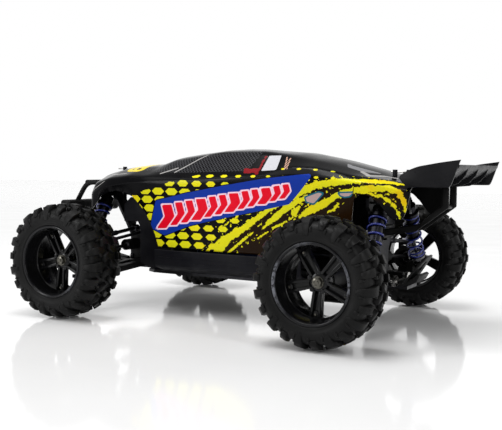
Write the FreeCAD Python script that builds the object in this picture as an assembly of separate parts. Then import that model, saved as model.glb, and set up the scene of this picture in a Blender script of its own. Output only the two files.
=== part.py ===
"""Radio-controlled off-road truggy, about one eighth of full size, in millimetres.

+X is forward, +Y is left and +Z is up. Every function below measures x from the middle of the
wheelbase; save() then moves each node forward by ORIGIN_SHIFT, so that the origin is on the
ground under the middle of the whole car. Corner parts are drawn for the front left wheel and
mirrored to the other three.
"""
import FreeCAD, Part
import math
import os

# ---- driving dimensions ----
HALF_WHEELBASE = 181.0
TYRE_RADIUS = 74.0
TYRE_WIDTH = 64.0
WHEEL_Y = 177.5               # centre plane of a tyre
AXLE_Z = TYRE_RADIUS
RIM_RADIUS = 44.5             # bead seat
SPOKE_TURN = 31.0             # degrees from straight up to the first spoke
REAR_END = -314.0             # trailing edge of the wing
FRONT_END = 292.0             # face of the front bumper
ORIGIN_SHIFT = -(REAR_END + FRONT_END) / 2

# ---- suspension: every link of a corner is parallel and equal to this one ----
LINK_Y = 106.0
LINK_Z = -10.0
LINK_LENGTH = math.hypot(LINK_Y, LINK_Z)
LINK_TILT = math.degrees(math.atan2(LINK_Z, LINK_Y))
ARM_IN = (27.0, 60.0)         # lower hinge pin, as (y, z)
UPPER_IN = (22.0, 107.0)      # inner pivot of the upper link
KINGPIN_Y = 146.0             # steering axis, also the centre of the driveshaft's outer joint
STEER_ARM = 26.0              # kingpin to track rod ball, and every parallel steering arm
STEER_X = HALF_WHEELBASE - STEER_ARM
TRACK_ROD_Z = 94.0
SHOCK_X = HALF_WHEELBASE + 25.0
SHOCK_TOP = (52.0, 158.0)
SHOCK_LOW = (108.0, 68.0)
SPRING_OUTER = 11.4
SPRING_INNER = 9.1
PIN_RADIUS = 2.0
SMALL_PIN = 1.5
RUNNING = 0.05                # radial clearance of a pin in its hole
LOOSE_EYE = 1.0               # radial clearance of the shock's open lower eye

# ---- chassis and drive line ----
PLATE_Z = 50.0                # underside of the chassis plate
PLATE_T = 4.0
DECK = PLATE_Z + PLATE_T
WAIST = 62.0                  # half width of the plate between the wheels
TOWER_X = HALF_WHEELBASE + 8.0
TOWER_T = 4.0
DRIVE_Z = 84.0
SHAFT_RADIUS = 4.0
SPUR_TEETH = 52
PINION_TEETH = 16
GEAR_MODULE = 1.0
MOTOR_Y = -(SPUR_TEETH + PINION_TEETH) * GEAR_MODULE / 2

# ---- steering ----
BELL_X = 130.0
BELL_Y = 24.0
BELL_Z = 92.0
LINK_PLATE_Z = 101.0
SERVO_X = 70.0
HORN_ARM = 20.0

# ---- body shell ----
SKIN = 1.6
FRONT_ARCH = (167.0, 88.0, 75.0)      # centre x, centre z, radius
REAR_ARCH = (-181.0, 77.0, 90.0)
# station x, then half-section points (y, z): sill, crease, shoulder, roof edge, roof centre
STATIONS = [
    (245, (12, 156), (15, 160), (14, 166), (9, 168), (0, 169)),
    (236, (34, 150), (38, 157), (36, 168), (24, 175), (0, 178)),
    (225, (54, 144), (61, 153), (58, 168), (38, 180), (0, 185)),
    (212, (76, 137), (83, 150), (79, 168), (52, 185), (0, 190)),
    (185, (84, 118), (88, 163), (82, 181), (52, 192), (0, 197)),
    (150, (88, 100), (91, 170), (85, 184), (50, 196), (0, 200)),
    (120, (90, 88), (92, 176), (86, 187), (50, 198), (0, 203)),
    (95, (90, 88), (92, 178), (86, 189), (50, 206), (0, 213)),
    (64, (90, 88), (92, 180), (84, 190), (52, 212), (0, 217)),
    (20, (90, 88), (92, 182), (84, 191), (54, 219), (0, 222)),
    (-30, (90, 88), (92, 186), (84, 194), (57, 221), (0, 224)),
    (-97, (90, 88), (91, 191), (83, 200), (57, 214), (0, 219)),
    (-143, (88, 100), (89, 188), (80, 199), (54, 207), (0, 211)),
    (-185, (84, 130), (86, 178), (76, 193), (50, 199), (0, 202)),
    (-215, (80, 146), (82, 168), (70, 188), (46, 192), (0, 194)),
    (-245, (74, 150), (77, 164), (66, 182), (44, 186), (0, 188)),
]
FRONT_POST = (217.0, 0.0)
REAR_POSTS = ((-214.0, 28.0), (-214.0, -28.0))
POST_RADIUS = 3.0
HOOP_PATH = [(280, 34, 144), (264, 31, 172), (236, 30, 172), (212, 32, 160), (TOWER_X + TOWER_T, 35, 147)]
HOOP_RADIUS = 3.6

# ---- rear wing ----
WING_HALF = 100.0
END_PLATE_T = 3.0
STRUT_Y = 18.0
FIN_PLACES = (-53, -1, 51)

CORNERS = [("front_left", 1, 1), ("front_right", 1, -1), ("rear_left", -1, 1), ("rear_right", -1, -1)]
SIDES = [("left", 1), ("right", -1)]


# ---- shape helpers ----
def vec(x, y, z):
    return FreeCAD.Vector(x, y, z)


def block(x_range, y_range, z_range):
    corner = vec(x_range[0], y_range[0], z_range[0])
    size = [r[1] - r[0] for r in (x_range, y_range, z_range)]
    return Part.makeBox(size[0], size[1], size[2], corner)


def rod(start, end, radius):
    a = vec(*start)
    b = vec(*end)
    return Part.makeCylinder(radius, (b - a).Length, a, b - a)


def ring(start, end, outer, inner):
    return rod(start, end, outer).cut(rod(start, end, inner))


def ball(centre, radius):
    return Part.makeSphere(radius, vec(*centre))


def polygon_wire(points):
    return Part.makePolygon([vec(*p) for p in points] + [vec(*points[0])])


def prism_yz(points, x_range):
    face = Part.Face(polygon_wire([(x_range[0], y, z) for y, z in points]))
    return face.extrude(vec(x_range[1] - x_range[0], 0, 0))


def prism_xz(points, y_range):
    face = Part.Face(polygon_wire([(x, y_range[0], z) for x, z in points]))
    return face.extrude(vec(0, y_range[1] - y_range[0], 0))


def prism_xy(points, z_range):
    face = Part.Face(polygon_wire([(x, y, z_range[0]) for x, y in points]))
    return face.extrude(vec(0, 0, z_range[1] - z_range[0]))


def hexagon(centre_x, centre_z, across_flats, y_range):
    radius = across_flats / math.sqrt(3)
    corners = [math.radians(60 * k) for k in range(6)]
    points = [(centre_x + radius * math.cos(a), centre_z + radius * math.sin(a)) for a in corners]
    return prism_xz(points, y_range)


def fuse(pieces):
    whole = pieces[0].multiFuse(pieces[1:]) if len(pieces) > 1 else pieces[0]
    return whole.removeSplitter()


def cut(solid, tools):
    for tool in tools:
        solid = solid.cut(tool)
    return solid


def mirrored(shape, sx, sy):
    if sx < 0:
        shape = shape.mirror(vec(0, 0, 0), vec(1, 0, 0))
    if sy < 0:
        shape = shape.mirror(vec(0, 0, 0), vec(0, 1, 0))
    return shape


def both_sides(shape):
    return [shape, mirrored(shape, 1, -1)]


def save(name, solids):
    shape = solids if isinstance(solids, Part.Shape) else Part.makeCompound(solids)
    shape.translate(vec(ORIGIN_SHIFT, 0, 0))
    if not shape.isValid():
        print("not valid:", name)
    if not shape.Solids:
        print("no solid:", name)
    shape.exportStep("parts/%s.step" % name)


def in_link_frame(shape):
    """Lays a shape drawn along +Y from the origin onto the lower arm's line."""
    shape.rotate(vec(0, 0, 0), vec(1, 0, 0), LINK_TILT)
    shape.translate(vec(HALF_WHEELBASE, ARM_IN[0], ARM_IN[1]))
    return shape


def outer_of(inner):
    return inner[0] + LINK_Y, inner[1] + LINK_Z


# ---- suspension, front left ----
def lower_arm():
    outline = [(-30, 0), (30, 0), (27, 62), (16, LINK_LENGTH), (-16, LINK_LENGTH), (-22, 62)]
    plate = prism_xy(outline, (-4, 4))
    barrels = [rod((-30, 0, 0), (30, 0, 0), 5.5), rod((-16, LINK_LENGTH, 0), (16, LINK_LENGTH, 0), 5.5)]
    arm = fuse([plate] + barrels)
    inner_gap = block((-9, 9), (-7, 9), (-7, 7))
    fork_gap = block((-8.9, 8.9), (LINK_LENGTH - 18, LINK_LENGTH + 8), (-8, 8))
    windows = []
    for side in (-1, 1):
        windows.append(prism_xy([(side * 4, 16), (side * 18, 16), (side * 15, 46), (side * 4, 46)], (-5, 5)))
        windows.append(prism_xy([(side * 4, 52), (side * 14, 52), (side * 11, 78), (side * 4, 78)], (-5, 5)))
    pin_hole = rod((-40, 0, 0), (40, 0, 0), PIN_RADIUS + RUNNING)
    outer_hole = rod((-20, LINK_LENGTH, 0), (20, LINK_LENGTH, 0), PIN_RADIUS)
    arm = cut(arm, [inner_gap, fork_gap, pin_hole, outer_hole] + windows)
    arm = in_link_frame(arm)
    boss_top = SHOCK_LOW[1] + 4
    boss = block((SHOCK_X - 15, SHOCK_X - 6), (SHOCK_LOW[0] - 6, SHOCK_LOW[0] + 6), (52, boss_top))
    pin = rod((SHOCK_X - 10, *SHOCK_LOW), (SHOCK_X + 5, *SHOCK_LOW), SMALL_PIN)
    arm = fuse([arm, boss, pin])
    hinge_pin = rod((-17, LINK_LENGTH, 0), (17, LINK_LENGTH, 0), PIN_RADIUS)
    return [arm, in_link_frame(hinge_pin)]


def upper_link():
    inner = UPPER_IN
    outer = outer_of(UPPER_IN)
    x = HALF_WHEELBASE
    bar = rod((x, *inner), (x, *outer), 2.6)
    eyes = [rod((x - 4, *p), (x + 4, *p), 5.2) for p in (inner, outer)]
    nut_start = (x, inner[0] + 46, inner[1] + 46 * LINK_Z / LINK_Y)
    nut_end = (x, inner[0] + 56, inner[1] + 56 * LINK_Z / LINK_Y)
    turnbuckle = rod(nut_start, nut_end, 3.6)
    holes = [rod((x - 9, *inner), (x + 9, *inner), SMALL_PIN + RUNNING)]
    holes.append(rod((x - 9, *outer), (x + 9, *outer), SMALL_PIN + 0.2))
    return cut(fuse([bar, turnbuckle] + eyes), holes)


def driveshaft():
    x = HALF_WHEELBASE
    outer = (x, KINGPIN_Y, AXLE_Z)
    inner = (x, KINGPIN_Y - LINK_Y, AXLE_Z - LINK_Z)
    return fuse([rod(inner, outer, 2.5), ball(inner, 5.2), ball(outer, 5.2)])


def carrier(x_half, extra, rooms):
    """Hinge lug, ring round the driveshaft and upper ears, with the hub's own pieces joined on."""
    x = HALF_WHEELBASE
    low = outer_of(ARM_IN)
    up = outer_of(UPPER_IN)
    lug = rod((x - x_half, *low), (x + x_half, *low), 5.4)
    web = block((x - x_half, x + x_half), (121, low[0] + 3), (low[1], 60))
    hoop = rod((x, 121, AXLE_Z), (x, 127, AXLE_Z), 15.5)
    neck = block((x - x_half, x + x_half), (121, 132), (86, up[1] + 5))
    body = fuse([lug, web, hoop, neck] + extra)
    link_room = block((x - 4.4, x + 4.4), (118, 140), (90.8, 110))
    hole = rod((x - 20, *low), (x + 20, *low), PIN_RADIUS + RUNNING)
    web_room = block((x - x_half, x + x_half), (low[0] - 2, low[0] + 9), (55.2, 60.5))
    window = rod((x, 110, AXLE_Z), (x, 135, AXLE_Z), 11)
    pin = rod((x - x_half, *up), (x + x_half, *up), SMALL_PIN)
    return fuse([cut(body, [link_room, hole, web_room, window] + rooms), pin])


def steering_block_carrier():
    """Front C-shaped hub carrier, with two flat arms that hold the kingpins."""
    x = HALF_WHEELBASE
    x_half = 8.4
    top = block((x - x_half, x + x_half), (121, KINGPIN_Y + 7), (90, 94.5))
    bottom = block((x - x_half, x + x_half), (outer_of(ARM_IN)[0], KINGPIN_Y + 7), (47, 51.5))
    pins = [rod((x, KINGPIN_Y, 51), (x, KINGPIN_Y, 56), PIN_RADIUS)]
    pins.append(rod((x, KINGPIN_Y, 86), (x, KINGPIN_Y, 90.5), PIN_RADIUS))
    return fuse([carrier(x_half, [top, bottom], [])] + pins)


def bearings():
    x = HALF_WHEELBASE
    return [ring((x, y, AXLE_Z), (x, y + 4, AXLE_Z), 8.5, SHAFT_RADIUS + RUNNING) for y in (156.5, 162.0)]


def hub_barrel(inner_y):
    x = HALF_WHEELBASE
    barrel = rod((x, inner_y, AXLE_Z), (x, 166, AXLE_Z), 12.5)
    cup_room = rod((x, inner_y - 1, AXLE_Z), (x, 156, AXLE_Z), 9.4)
    bore = rod((x, 150, AXLE_Z), (x, 170, AXLE_Z), 8.5)
    return barrel, [cup_room, bore]


def steering_knuckle():
    x = HALF_WHEELBASE
    barrel, rooms = hub_barrel(139)
    kingpin_boss = rod((x, KINGPIN_Y, 52), (x, KINGPIN_Y, 89.5), 6)
    arm = block((STEER_X - 3, x), (KINGPIN_Y - 4, KINGPIN_Y + 4), (83.5, 89.5))
    pin_holes = [rod((x, KINGPIN_Y, 51), (x, KINGPIN_Y, 60), PIN_RADIUS + RUNNING)]
    pin_holes.append(rod((x, KINGPIN_Y, 83), (x, KINGPIN_Y, 91), PIN_RADIUS + RUNNING))
    body = cut(fuse([barrel, kingpin_boss, arm]), rooms + pin_holes)
    stud = rod((STEER_X, KINGPIN_Y, 89), (STEER_X, KINGPIN_Y, TRACK_ROD_Z), 1.3)
    joint_ball = ball((STEER_X, KINGPIN_Y, TRACK_ROD_Z), 3.0)
    return [fuse([body, stud, joint_ball])] + bearings()


def rear_hub():
    barrel, rooms = hub_barrel(124)
    return [carrier(8.4, [barrel], rooms)] + bearings()


# ---- shock absorber, front left ----
def shock_direction():
    down = vec(0, SHOCK_LOW[0] - SHOCK_TOP[0], SHOCK_LOW[1] - SHOCK_TOP[1])
    return down.Length, down.normalize()


def on_shock(distance):
    along = shock_direction()[1]
    return SHOCK_X, SHOCK_TOP[0] + along.y * distance, SHOCK_TOP[1] + along.z * distance


def shock_body():
    tube = rod(on_shock(7), on_shock(60), 8.5)
    cap = rod(on_shock(7), on_shock(13), 9.2)
    collar = rod(on_shock(18), on_shock(22), SPRING_OUTER + 0.4)
    eye = rod((SHOCK_X - 4, *SHOCK_TOP), (SHOCK_X + 4, *SHOCK_TOP), 5)
    neck = rod(SHOCK_TOP_POINT, on_shock(8), 4)
    bore = rod(on_shock(24), on_shock(57), 6.5)
    rod_hole = rod(on_shock(50), on_shock(64), 1.75 + RUNNING)
    pin_hole = rod((SHOCK_X - 9, *SHOCK_TOP), (SHOCK_X + 9, *SHOCK_TOP), SMALL_PIN + RUNNING)
    return cut(fuse([tube, cap, collar, eye, neck]), [bore, rod_hole, pin_hole])


def shock_rod():
    length = shock_direction()[0]
    shaft = rod(on_shock(44), on_shock(length - 3), 1.75)
    piston = rod(on_shock(42), on_shock(45), 6.4)
    cup = rod(on_shock(88), on_shock(91), SPRING_OUTER + 0.4)
    eye = rod((SHOCK_X - 4, *SHOCK_LOW), (SHOCK_X + 4, *SHOCK_LOW), 5.4)
    hole = rod((SHOCK_X - 9, *SHOCK_LOW), (SHOCK_X + 9, *SHOCK_LOW), SMALL_PIN + LOOSE_EYE)
    return cut(fuse([shaft, piston, cup, eye]), [hole])


def shock_spring():
    return ring(on_shock(22.2), on_shock(87.8), SPRING_OUTER, SPRING_INNER)


SHOCK_TOP_POINT = (SHOCK_X, SHOCK_TOP[0], SHOCK_TOP[1])


# ---- wheels, front left ----
def revolved(profile):
    """Turns (y, radius) points about the axle line."""
    x = HALF_WHEELBASE
    wire = polygon_wire([(x, y, AXLE_Z + r) for y, r in profile])
    return Part.Face(wire).revolve(vec(x, 0, AXLE_Z), vec(0, 1, 0), 360)


def tyre():
    half = TYRE_WIDTH / 2
    top = TYRE_RADIUS
    outer = [(-half + 3, 48), (-half, 57), (-half, 63), (-half + 6, 71), (-half + 13, top)]
    inner = [(-half + 14, top - 9), (-half + 7, 62), (-half + 7, 51), (-half + 9, RIM_RADIUS)]
    lip = [(-half + 4.5, RIM_RADIUS), (-half + 4.5, 47)]
    one_side = [lip[0], lip[1]] + outer
    profile = one_side + [(-y, r) for y, r in reversed(one_side)]
    profile += [(-y, r) for y, r in reversed(inner)] + inner
    return revolved([(WHEEL_Y + y, r) for y, r in profile])


def rim():
    x = HALF_WHEELBASE
    half = TYRE_WIDTH / 2 - 2.5
    section = [(-half, 42.5), (half, 42.5), (half, 46.5), (half - 2, 46.5), (half - 2, RIM_RADIUS)]
    section += [(-half + 2, RIM_RADIUS), (-half + 2, 46.5), (-half, 46.5)]
    barrel = revolved([(WHEEL_Y + y, r) for y, r in section])
    hub = rod((x, 169, AXLE_Z), (x, 184, AXLE_Z), 13)
    spokes = []
    for k in range(5):
        outline = [(x - 6, AXLE_Z + 8), (x + 6, AXLE_Z + 8), (x + 7, AXLE_Z + 43), (x - 7, AXLE_Z + 43)]
        spoke = prism_xz(outline, (176, 184))
        spoke.rotate(vec(x, 0, AXLE_Z), vec(0, 1, 0), SPOKE_TURN + 72 * k)
        spokes.append(spoke)
    hub_hole = rod((x, 165, AXLE_Z), (x, 190, AXLE_Z), SHAFT_RADIUS + 0.2)
    hex_room = hexagon(x, AXLE_Z, 17.3, (168, 177))
    return cut(fuse([barrel, hub] + spokes), [hub_hole, hex_room])


def axle():
    x = HALF_WHEELBASE
    cup = rod((x, 139.5, AXLE_Z), (x, 155, AXLE_Z), 8.3)
    pocket = rod((x, 139, AXLE_Z), (x, 152.5, AXLE_Z), 6.8)
    stub = rod((x, 154, AXLE_Z), (x, 190.5, AXLE_Z), SHAFT_RADIUS)
    drive_hex = hexagon(x, AXLE_Z, 17.0, (169, 176.5))
    return fuse([cup.cut(pocket), stub, drive_hex])


def wheel_nut():
    x = HALF_WHEELBASE
    return hexagon(x, AXLE_Z, 17.0, (184, 189.5)).cut(rod((x, 180, AXLE_Z), (x, 195, AXLE_Z), SHAFT_RADIUS))


def wheel():
    return [rim(), axle(), wheel_nut()]


# ---- chassis ----
def chassis_plate():
    nose = HALF_WHEELBASE + 50
    waist_end = 134
    outline = [(nose, 20), (144, 20), (waist_end, WAIST - 8), (waist_end - 14, WAIST)]
    outline += [(-x, y) for x, y in reversed(outline)]
    outline += [(x, -y) for x, y in reversed(outline)]
    plate = prism_xy(outline, (PLATE_Z, DECK))
    holes = [rod((x, y, PLATE_Z - 1), (x, y, DECK + 1), 1.6) for x, y in screw_places()]
    return cut(plate, holes)


def screw_places():
    places = []
    for x in (-225, -148, -118, -60, 0, 60, 118, 148, 225):
        across = 12 if abs(x) > 140 else 56
        places += [(x, across), (x, -across)]
    return places


def side_guards():
    profile = [(50, DECK), (64, DECK), (92, 64), (94.5, 86.5), (91.5, 86.5), (89, 66.5), (63, 57), (50, 57)]
    guard = prism_yz(profile, (-118, 98))
    arch_panel = prism_xz([(94, DECK), (119, DECK), (146, 62), (146, 112), (150, 119), (174, 119), (174, 144),
                           (163, 154), (110, 154), (94, 138)], (58, 60))
    screw_room = [rod((x, 56, DECK - 1), (x, 56, 60), 1.6) for x in (-60, 0, 60)]
    return both_sides(cut(fuse([guard, arch_panel]), screw_room))


def front_bumper():
    skid = prism_xz([(220, DECK), (238, 57), (262, 72), (276, 98), (280, 128), (274, 128), (269, 100),
                     (256, 77), (236, 63), (220, 60)], (-18, 18))
    bar = block((272, FRONT_END), (-60, 60), (128, 146))
    bar = bar.makeFillet(5, [e for e in bar.Edges if abs(e.tangentAt(0).x) < 0.5])
    hoop = []
    for side in (-1, 1):
        path = [(x, side * y, z) for x, y, z in HOOP_PATH]
        for a, b in zip(path, path[1:]):
            hoop.append(rod(a, b, HOOP_RADIUS))
            hoop.append(ball(b, HOOP_RADIUS))
    corner = HOOP_PATH[1]
    hoop.append(rod((corner[0], -corner[1], corner[2]), corner, HOOP_RADIUS))
    tower_side = block((TOWER_X - 10, TOWER_X + TOWER_T), (-60, 60), (110, 170))
    return [fuse([skid, bar] + hoop).cut(tower_side)]


def rear_bumper():
    """Short skid under the tail with an upswept, tapering plate behind it."""
    skid = prism_xz([(-220, DECK), (-234, 55), (-243, 60), (-247, 68), (-243, 70), (-237, 64), (-220, 60)],
                    (-22, 22))
    plate = prism_xz([(-225, 58), (-251, 94), (-254, 92), (-229, 56)], (-25, 25))
    trims = []
    for side in (-1, 1):
        trims.append(prism_yz([(side * 25.5, 60), (side * 25.5, 100), (side * 13, 100)], (-270, -210)))
    slot = prism_yz([(-4, 74), (4, 74), (4, 86), (-4, 86)], (-270, -225))
    return [fuse([skid, cut(plate, trims)]).cut(slot)]


def gearbox():
    x = HALF_WHEELBASE
    case = block((x - 26, TOWER_X), (-15, 15), (DECK, 99))
    dome = rod((x, -19, DRIVE_Z), (x, 19, DRIVE_Z), 16)
    dome = dome.common(block((x - 26, TOWER_X), (-19, 19), (DECK, 99)))
    snout = rod((x - 32, 0, DRIVE_Z), (x - 20, 0, DRIVE_Z), 8)
    cups = []
    for side in (-1, 1):
        cups.append(rod((x, side * 15, DRIVE_Z), (x, side * 46.5, DRIVE_Z), 7.9))
    cup_rooms = [rod((x, side * 33, DRIVE_Z), (x, side * 47, DRIVE_Z), 6.9) for side in (-1, 1)]
    bore = rod((x - 33, 0, DRIVE_Z), (x - 24, 0, DRIVE_Z), SHAFT_RADIUS + RUNNING)
    return cut(fuse([case, dome, snout] + cups), cup_rooms + [bore])


def drive_housings():
    mounts = []
    for x in (-18.0, 22.0):
        plate = prism_yz([(-24, DECK), (24, DECK), (14, 104), (-14, 104)], (x, x + 4))
        mounts.append(plate.cut(rod((x - 1, 0, DRIVE_Z), (x + 5, 0, DRIVE_Z), SHAFT_RADIUS + RUNNING)))
    return [gearbox(), mirrored(gearbox(), -1, 1)] + mounts


def gear_outline(teeth, x_range, centre_y):
    pitch = teeth * GEAR_MODULE / 2
    step = 2 * math.pi / teeth
    points = []
    phase = 0.0 if centre_y == 0 else math.pi / teeth
    for k in range(teeth):
        mid = k * step + phase
        for radius, half in ((pitch - 1.15, 0.85), (pitch + 0.85, 0.32)):
            points.append((radius, mid - half / pitch))
        for radius, half in ((pitch + 0.85, 0.32), (pitch - 1.15, 0.85)):
            points.append((radius, mid + half / pitch))
    # a tooth of the spur points at the pinion, which shows it a gap
    flat = [(centre_y + r * math.cos(a), DRIVE_Z + r * math.sin(a)) for r, a in points]
    return prism_yz(flat, x_range)


def center_drivetrain():
    spur = gear_outline(SPUR_TEETH, (-8, -2), 0)
    case = rod((-2, 0, DRIVE_Z), (16, 0, DRIVE_Z), 15)
    shaft = rod((-HALF_WHEELBASE + 29, 0, DRIVE_Z), (HALF_WHEELBASE - 29, 0, DRIVE_Z), SHAFT_RADIUS)
    joints = [rod((x, 0, DRIVE_Z), (x + 14, 0, DRIVE_Z), 6) for x in (-134, -40, 32, 120)]
    return fuse([spur, case, shaft] + joints)


def motor():
    can = rod((-76, MOTOR_Y, DRIVE_Z), (-20, MOTOR_Y, DRIVE_Z), 18)
    nose = rod((-20, MOTOR_Y, DRIVE_Z), (-17, MOTOR_Y, DRIVE_Z), 8)
    mount = block((-24, -20), (MOTOR_Y - 15, MOTOR_Y + 8), (DECK, DRIVE_Z))
    fins = [ring((x, MOTOR_Y, DRIVE_Z), (x + 2, MOTOR_Y, DRIVE_Z), 19.5, 17) for x in range(-70, -28, 6)]
    shaft_bore = rod((-30, MOTOR_Y, DRIVE_Z), (-16, MOTOR_Y, DRIVE_Z), 2.5 + RUNNING)
    return fuse([can, nose, mount] + fins).cut(shaft_bore)


def motor_pinion():
    gear = gear_outline(PINION_TEETH, (-9, -1), MOTOR_Y)
    boss = rod((-15, MOTOR_Y, DRIVE_Z), (-9, MOTOR_Y, DRIVE_Z), 5)
    shaft = rod((-28, MOTOR_Y, DRIVE_Z), (-9, MOTOR_Y, DRIVE_Z), 2.5)
    return fuse([gear, boss, shaft])


def battery_pack():
    cells = block((-85, 53), (31, 59.5), (57.5, 96))
    cells = cells.makeFillet(3, cells.Edges)
    straps = [block((x, x + 12), (29.5, 61), (57.2, 98)).cut(block((x - 1, x + 13), (31, 59.5), (54, 96)))
              for x in (-60, 16)]
    return [cells] + straps


def electronics():
    speed_controller = block((-132, -82), (-48, -10), (DECK, 78))
    fins = [block((-128, -86), (y, y + 2), (78, 86)) for y in range(-45, -14, 6)]
    receiver_box = block((62, 98), (20, 47), (DECK, 84))
    lid = block((60, 100), (18, 48), (84, 88))
    return [fuse([speed_controller] + fins), fuse([receiver_box, lid])]


def steering_servo():
    case = block((58, 98), (-46, -14), (DECK, 86))
    ears = block((52, 104), (-42, -18), (74, 77))
    spline = rod((SERVO_X, -BELL_Y, 86), (SERVO_X, -BELL_Y, 90.5), 3)
    return fuse([case, ears, spline])


def shock_towers():
    outline = [(17, DECK), (17, 96), (28, 112), (54, 147), (61, 153), (61, 164)]
    outline += [(53, 168), (38, 154), (22, 138)]
    outline += [(-y, z) for y, z in reversed(outline)]
    towers = []
    for sx in (1, -1):
        plate = prism_yz(outline, (TOWER_X, TOWER_X + TOWER_T))
        window = prism_yz([(-10, 108), (10, 108), (6, 128), (-6, 128)], (TOWER_X - 1, TOWER_X + TOWER_T + 1))
        upper_pins = []
        for side in (-1, 1):
            top = (side * SHOCK_TOP[0], SHOCK_TOP[1])
            upper_pins.append(rod((TOWER_X, *top), (SHOCK_X + 6, *top), SMALL_PIN))
            link = (side * UPPER_IN[0], UPPER_IN[1])
            upper_pins.append(rod((HALF_WHEELBASE - 6, *link), (TOWER_X + 1, *link), SMALL_PIN))
        tower = fuse([plate.cut(window)] + upper_pins)
        towers.append(mirrored(tower, sx, 1))
    return towers + body_posts()


def body_posts():
    x, y = FRONT_POST
    foot = block((TOWER_X + TOWER_T, x + 4), (-5, 5), (132, 137))
    post = rod((x, y, 136), (x, y, 196), POST_RADIUS)
    clip_hole = rod((x - 5, y, 193.0), (x + 5, y, 193.0), 1.0)
    posts = [fuse([foot, post]).cut(clip_hole)]
    for x, y in REAR_POSTS:
        foot = block((x - 4, -TOWER_X - TOWER_T), (y - 5, y + 5), (142, 147))
        post = rod((x, y, 146), (x, y, 199), POST_RADIUS)
        clip_hole = rod((x - 5, y, 196.0), (x + 5, y, 196.0), 1.0)
        posts.append(fuse([foot, post]).cut(clip_hole))
    return posts


def wing_mount():
    outline = [(-198, 115), (-198, 124), (-243, 132.5), (-271, 157), (-270.5, 180.7), (-279.5, 182.5),
               (-280, 153.5), (-239.5, 122.5)]
    struts = []
    for side in (-1, 1):
        inner = side * STRUT_Y - 2
        struts.append(prism_xz(outline, (inner, inner + 4)))
    cross = rod((-273.5, -STRUT_Y, 154), (-273.5, STRUT_Y, 154), 3)
    foot = block((-200, -TOWER_X - TOWER_T), (-22, 22), (112, 128))
    return fuse(struts + [cross, foot])


def rear_wing():
    blade = [(-246, 181), (-262, 183), (-280, 187), (-298, 195), (-310, 206), (-312, 203), (-300, 191),
             (-282, 183), (-262, 179), (-246, 178)]
    blade.reverse()
    wing = prism_xz(blade, (-WING_HALF, WING_HALF))
    plate = [(-243, 191), (-250, 197), (-265, 203.5), (-290, 208.5), (REAR_END, 212), (-306, 190),
             (-302, 180.5), (-254, 179.5), (-247, 184)]
    plates = []
    for side in (-1, 1):
        start = WING_HALF if side > 0 else -WING_HALF - END_PLATE_T
        plates.append(prism_xz(plate, (start, start + END_PLATE_T)))
    fin = [(-311, 204.5), (-307, 193), (-299, 184), (-287, 179), (-270, 177.5), (-262, 180), (-282, 185),
           (-299, 193)]
    fins = [prism_xz(fin, (y, y + 2)) for y in FIN_PLACES]
    return fuse([wing] + plates + fins)


def shell_section(station, inset, drop):
    x = station[0]
    sill, crease, shoulder, edge, top = station[1:]
    pulled = [(sill[0] - inset, sill[1] - drop), (crease[0] - inset, crease[1]),
              (shoulder[0] - inset, shoulder[1] - inset * 0.7), (edge[0] - inset * 0.4, edge[1] - inset),
              (max(top[0], 0), top[1] - inset)]
    points = [(x, y, z) for y, z in pulled] + [(x, -y, z) for y, z in reversed(pulled[:-1])]
    return polygon_wire(points)


def body_shell():
    outer = Part.makeLoft([shell_section(s, 0, 0) for s in STATIONS], True, True)
    inside = list(STATIONS)
    first = list(inside[0])
    last = list(inside[-1])
    first[0] -= SKIN
    last[0] += SKIN
    inside[0] = tuple(first)
    inside[-1] = tuple(last)
    inner = Part.makeLoft([shell_section(s, SKIN, 3) for s in inside], True, True)
    shell = outer.cut(inner)
    arches = []
    for centre_x, centre_z, radius in (FRONT_ARCH, REAR_ARCH):
        for side in (-1, 1):
            arches.append(rod((centre_x, side * 40, centre_z), (centre_x, side * 110, centre_z), radius))
    floor = block((-300, 300), (-120, 120), (0, 88))
    posts = [rod((x, y, 150), (x, y, 230), POST_RADIUS + 0.5) for x, y in (FRONT_POST,) + REAR_POSTS]
    hoop_slots = []
    for side in (-1, 1):
        x, y, z = HOOP_PATH[2]
        hoop_slots.append(rod((x - 18, side * y, z), (x + 16, side * y, z), HOOP_RADIUS + 3))
    return cut(shell, arches + [floor] + posts + hoop_slots)


# ---- steering ----
def bellcrank(side):
    y = side * BELL_Y
    hub = rod((BELL_X, y, BELL_Z - 12), (BELL_X, y, BELL_Z + 5), 6.5)
    arm = block((BELL_X - STEER_ARM - 3.5, BELL_X), (y - 3.5, y + 3.5), (BELL_Z, BELL_Z + 5))
    pin = rod((BELL_X - STEER_ARM, y, BELL_Z + 4), (BELL_X - STEER_ARM, y, LINK_PLATE_Z + 5), PIN_RADIUS)
    pieces = [hub, arm, pin]
    if side < 0:
        pieces.append(block((BELL_X - 3.5, BELL_X + 3.5), (y - HORN_ARM - 3.5, y), (BELL_Z, BELL_Z + 5)))
        pieces.append(rod((BELL_X, y - HORN_ARM, BELL_Z + 4), (BELL_X, y - HORN_ARM, BELL_Z + 9), SMALL_PIN))
    bore = rod((BELL_X, y, BELL_Z - 14), (BELL_X, y, BELL_Z + 6), 3 + RUNNING)
    return fuse(pieces).cut(bore)


def steering_posts():
    posts = []
    for side in (-1, 1):
        y = side * BELL_Y
        posts.append(fuse([rod((BELL_X, y, DECK), (BELL_X, y, BELL_Z + 7), 3),
                           rod((BELL_X, y, DECK), (BELL_X, y, BELL_Z - 12.3), 6)]))
    return posts


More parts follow.
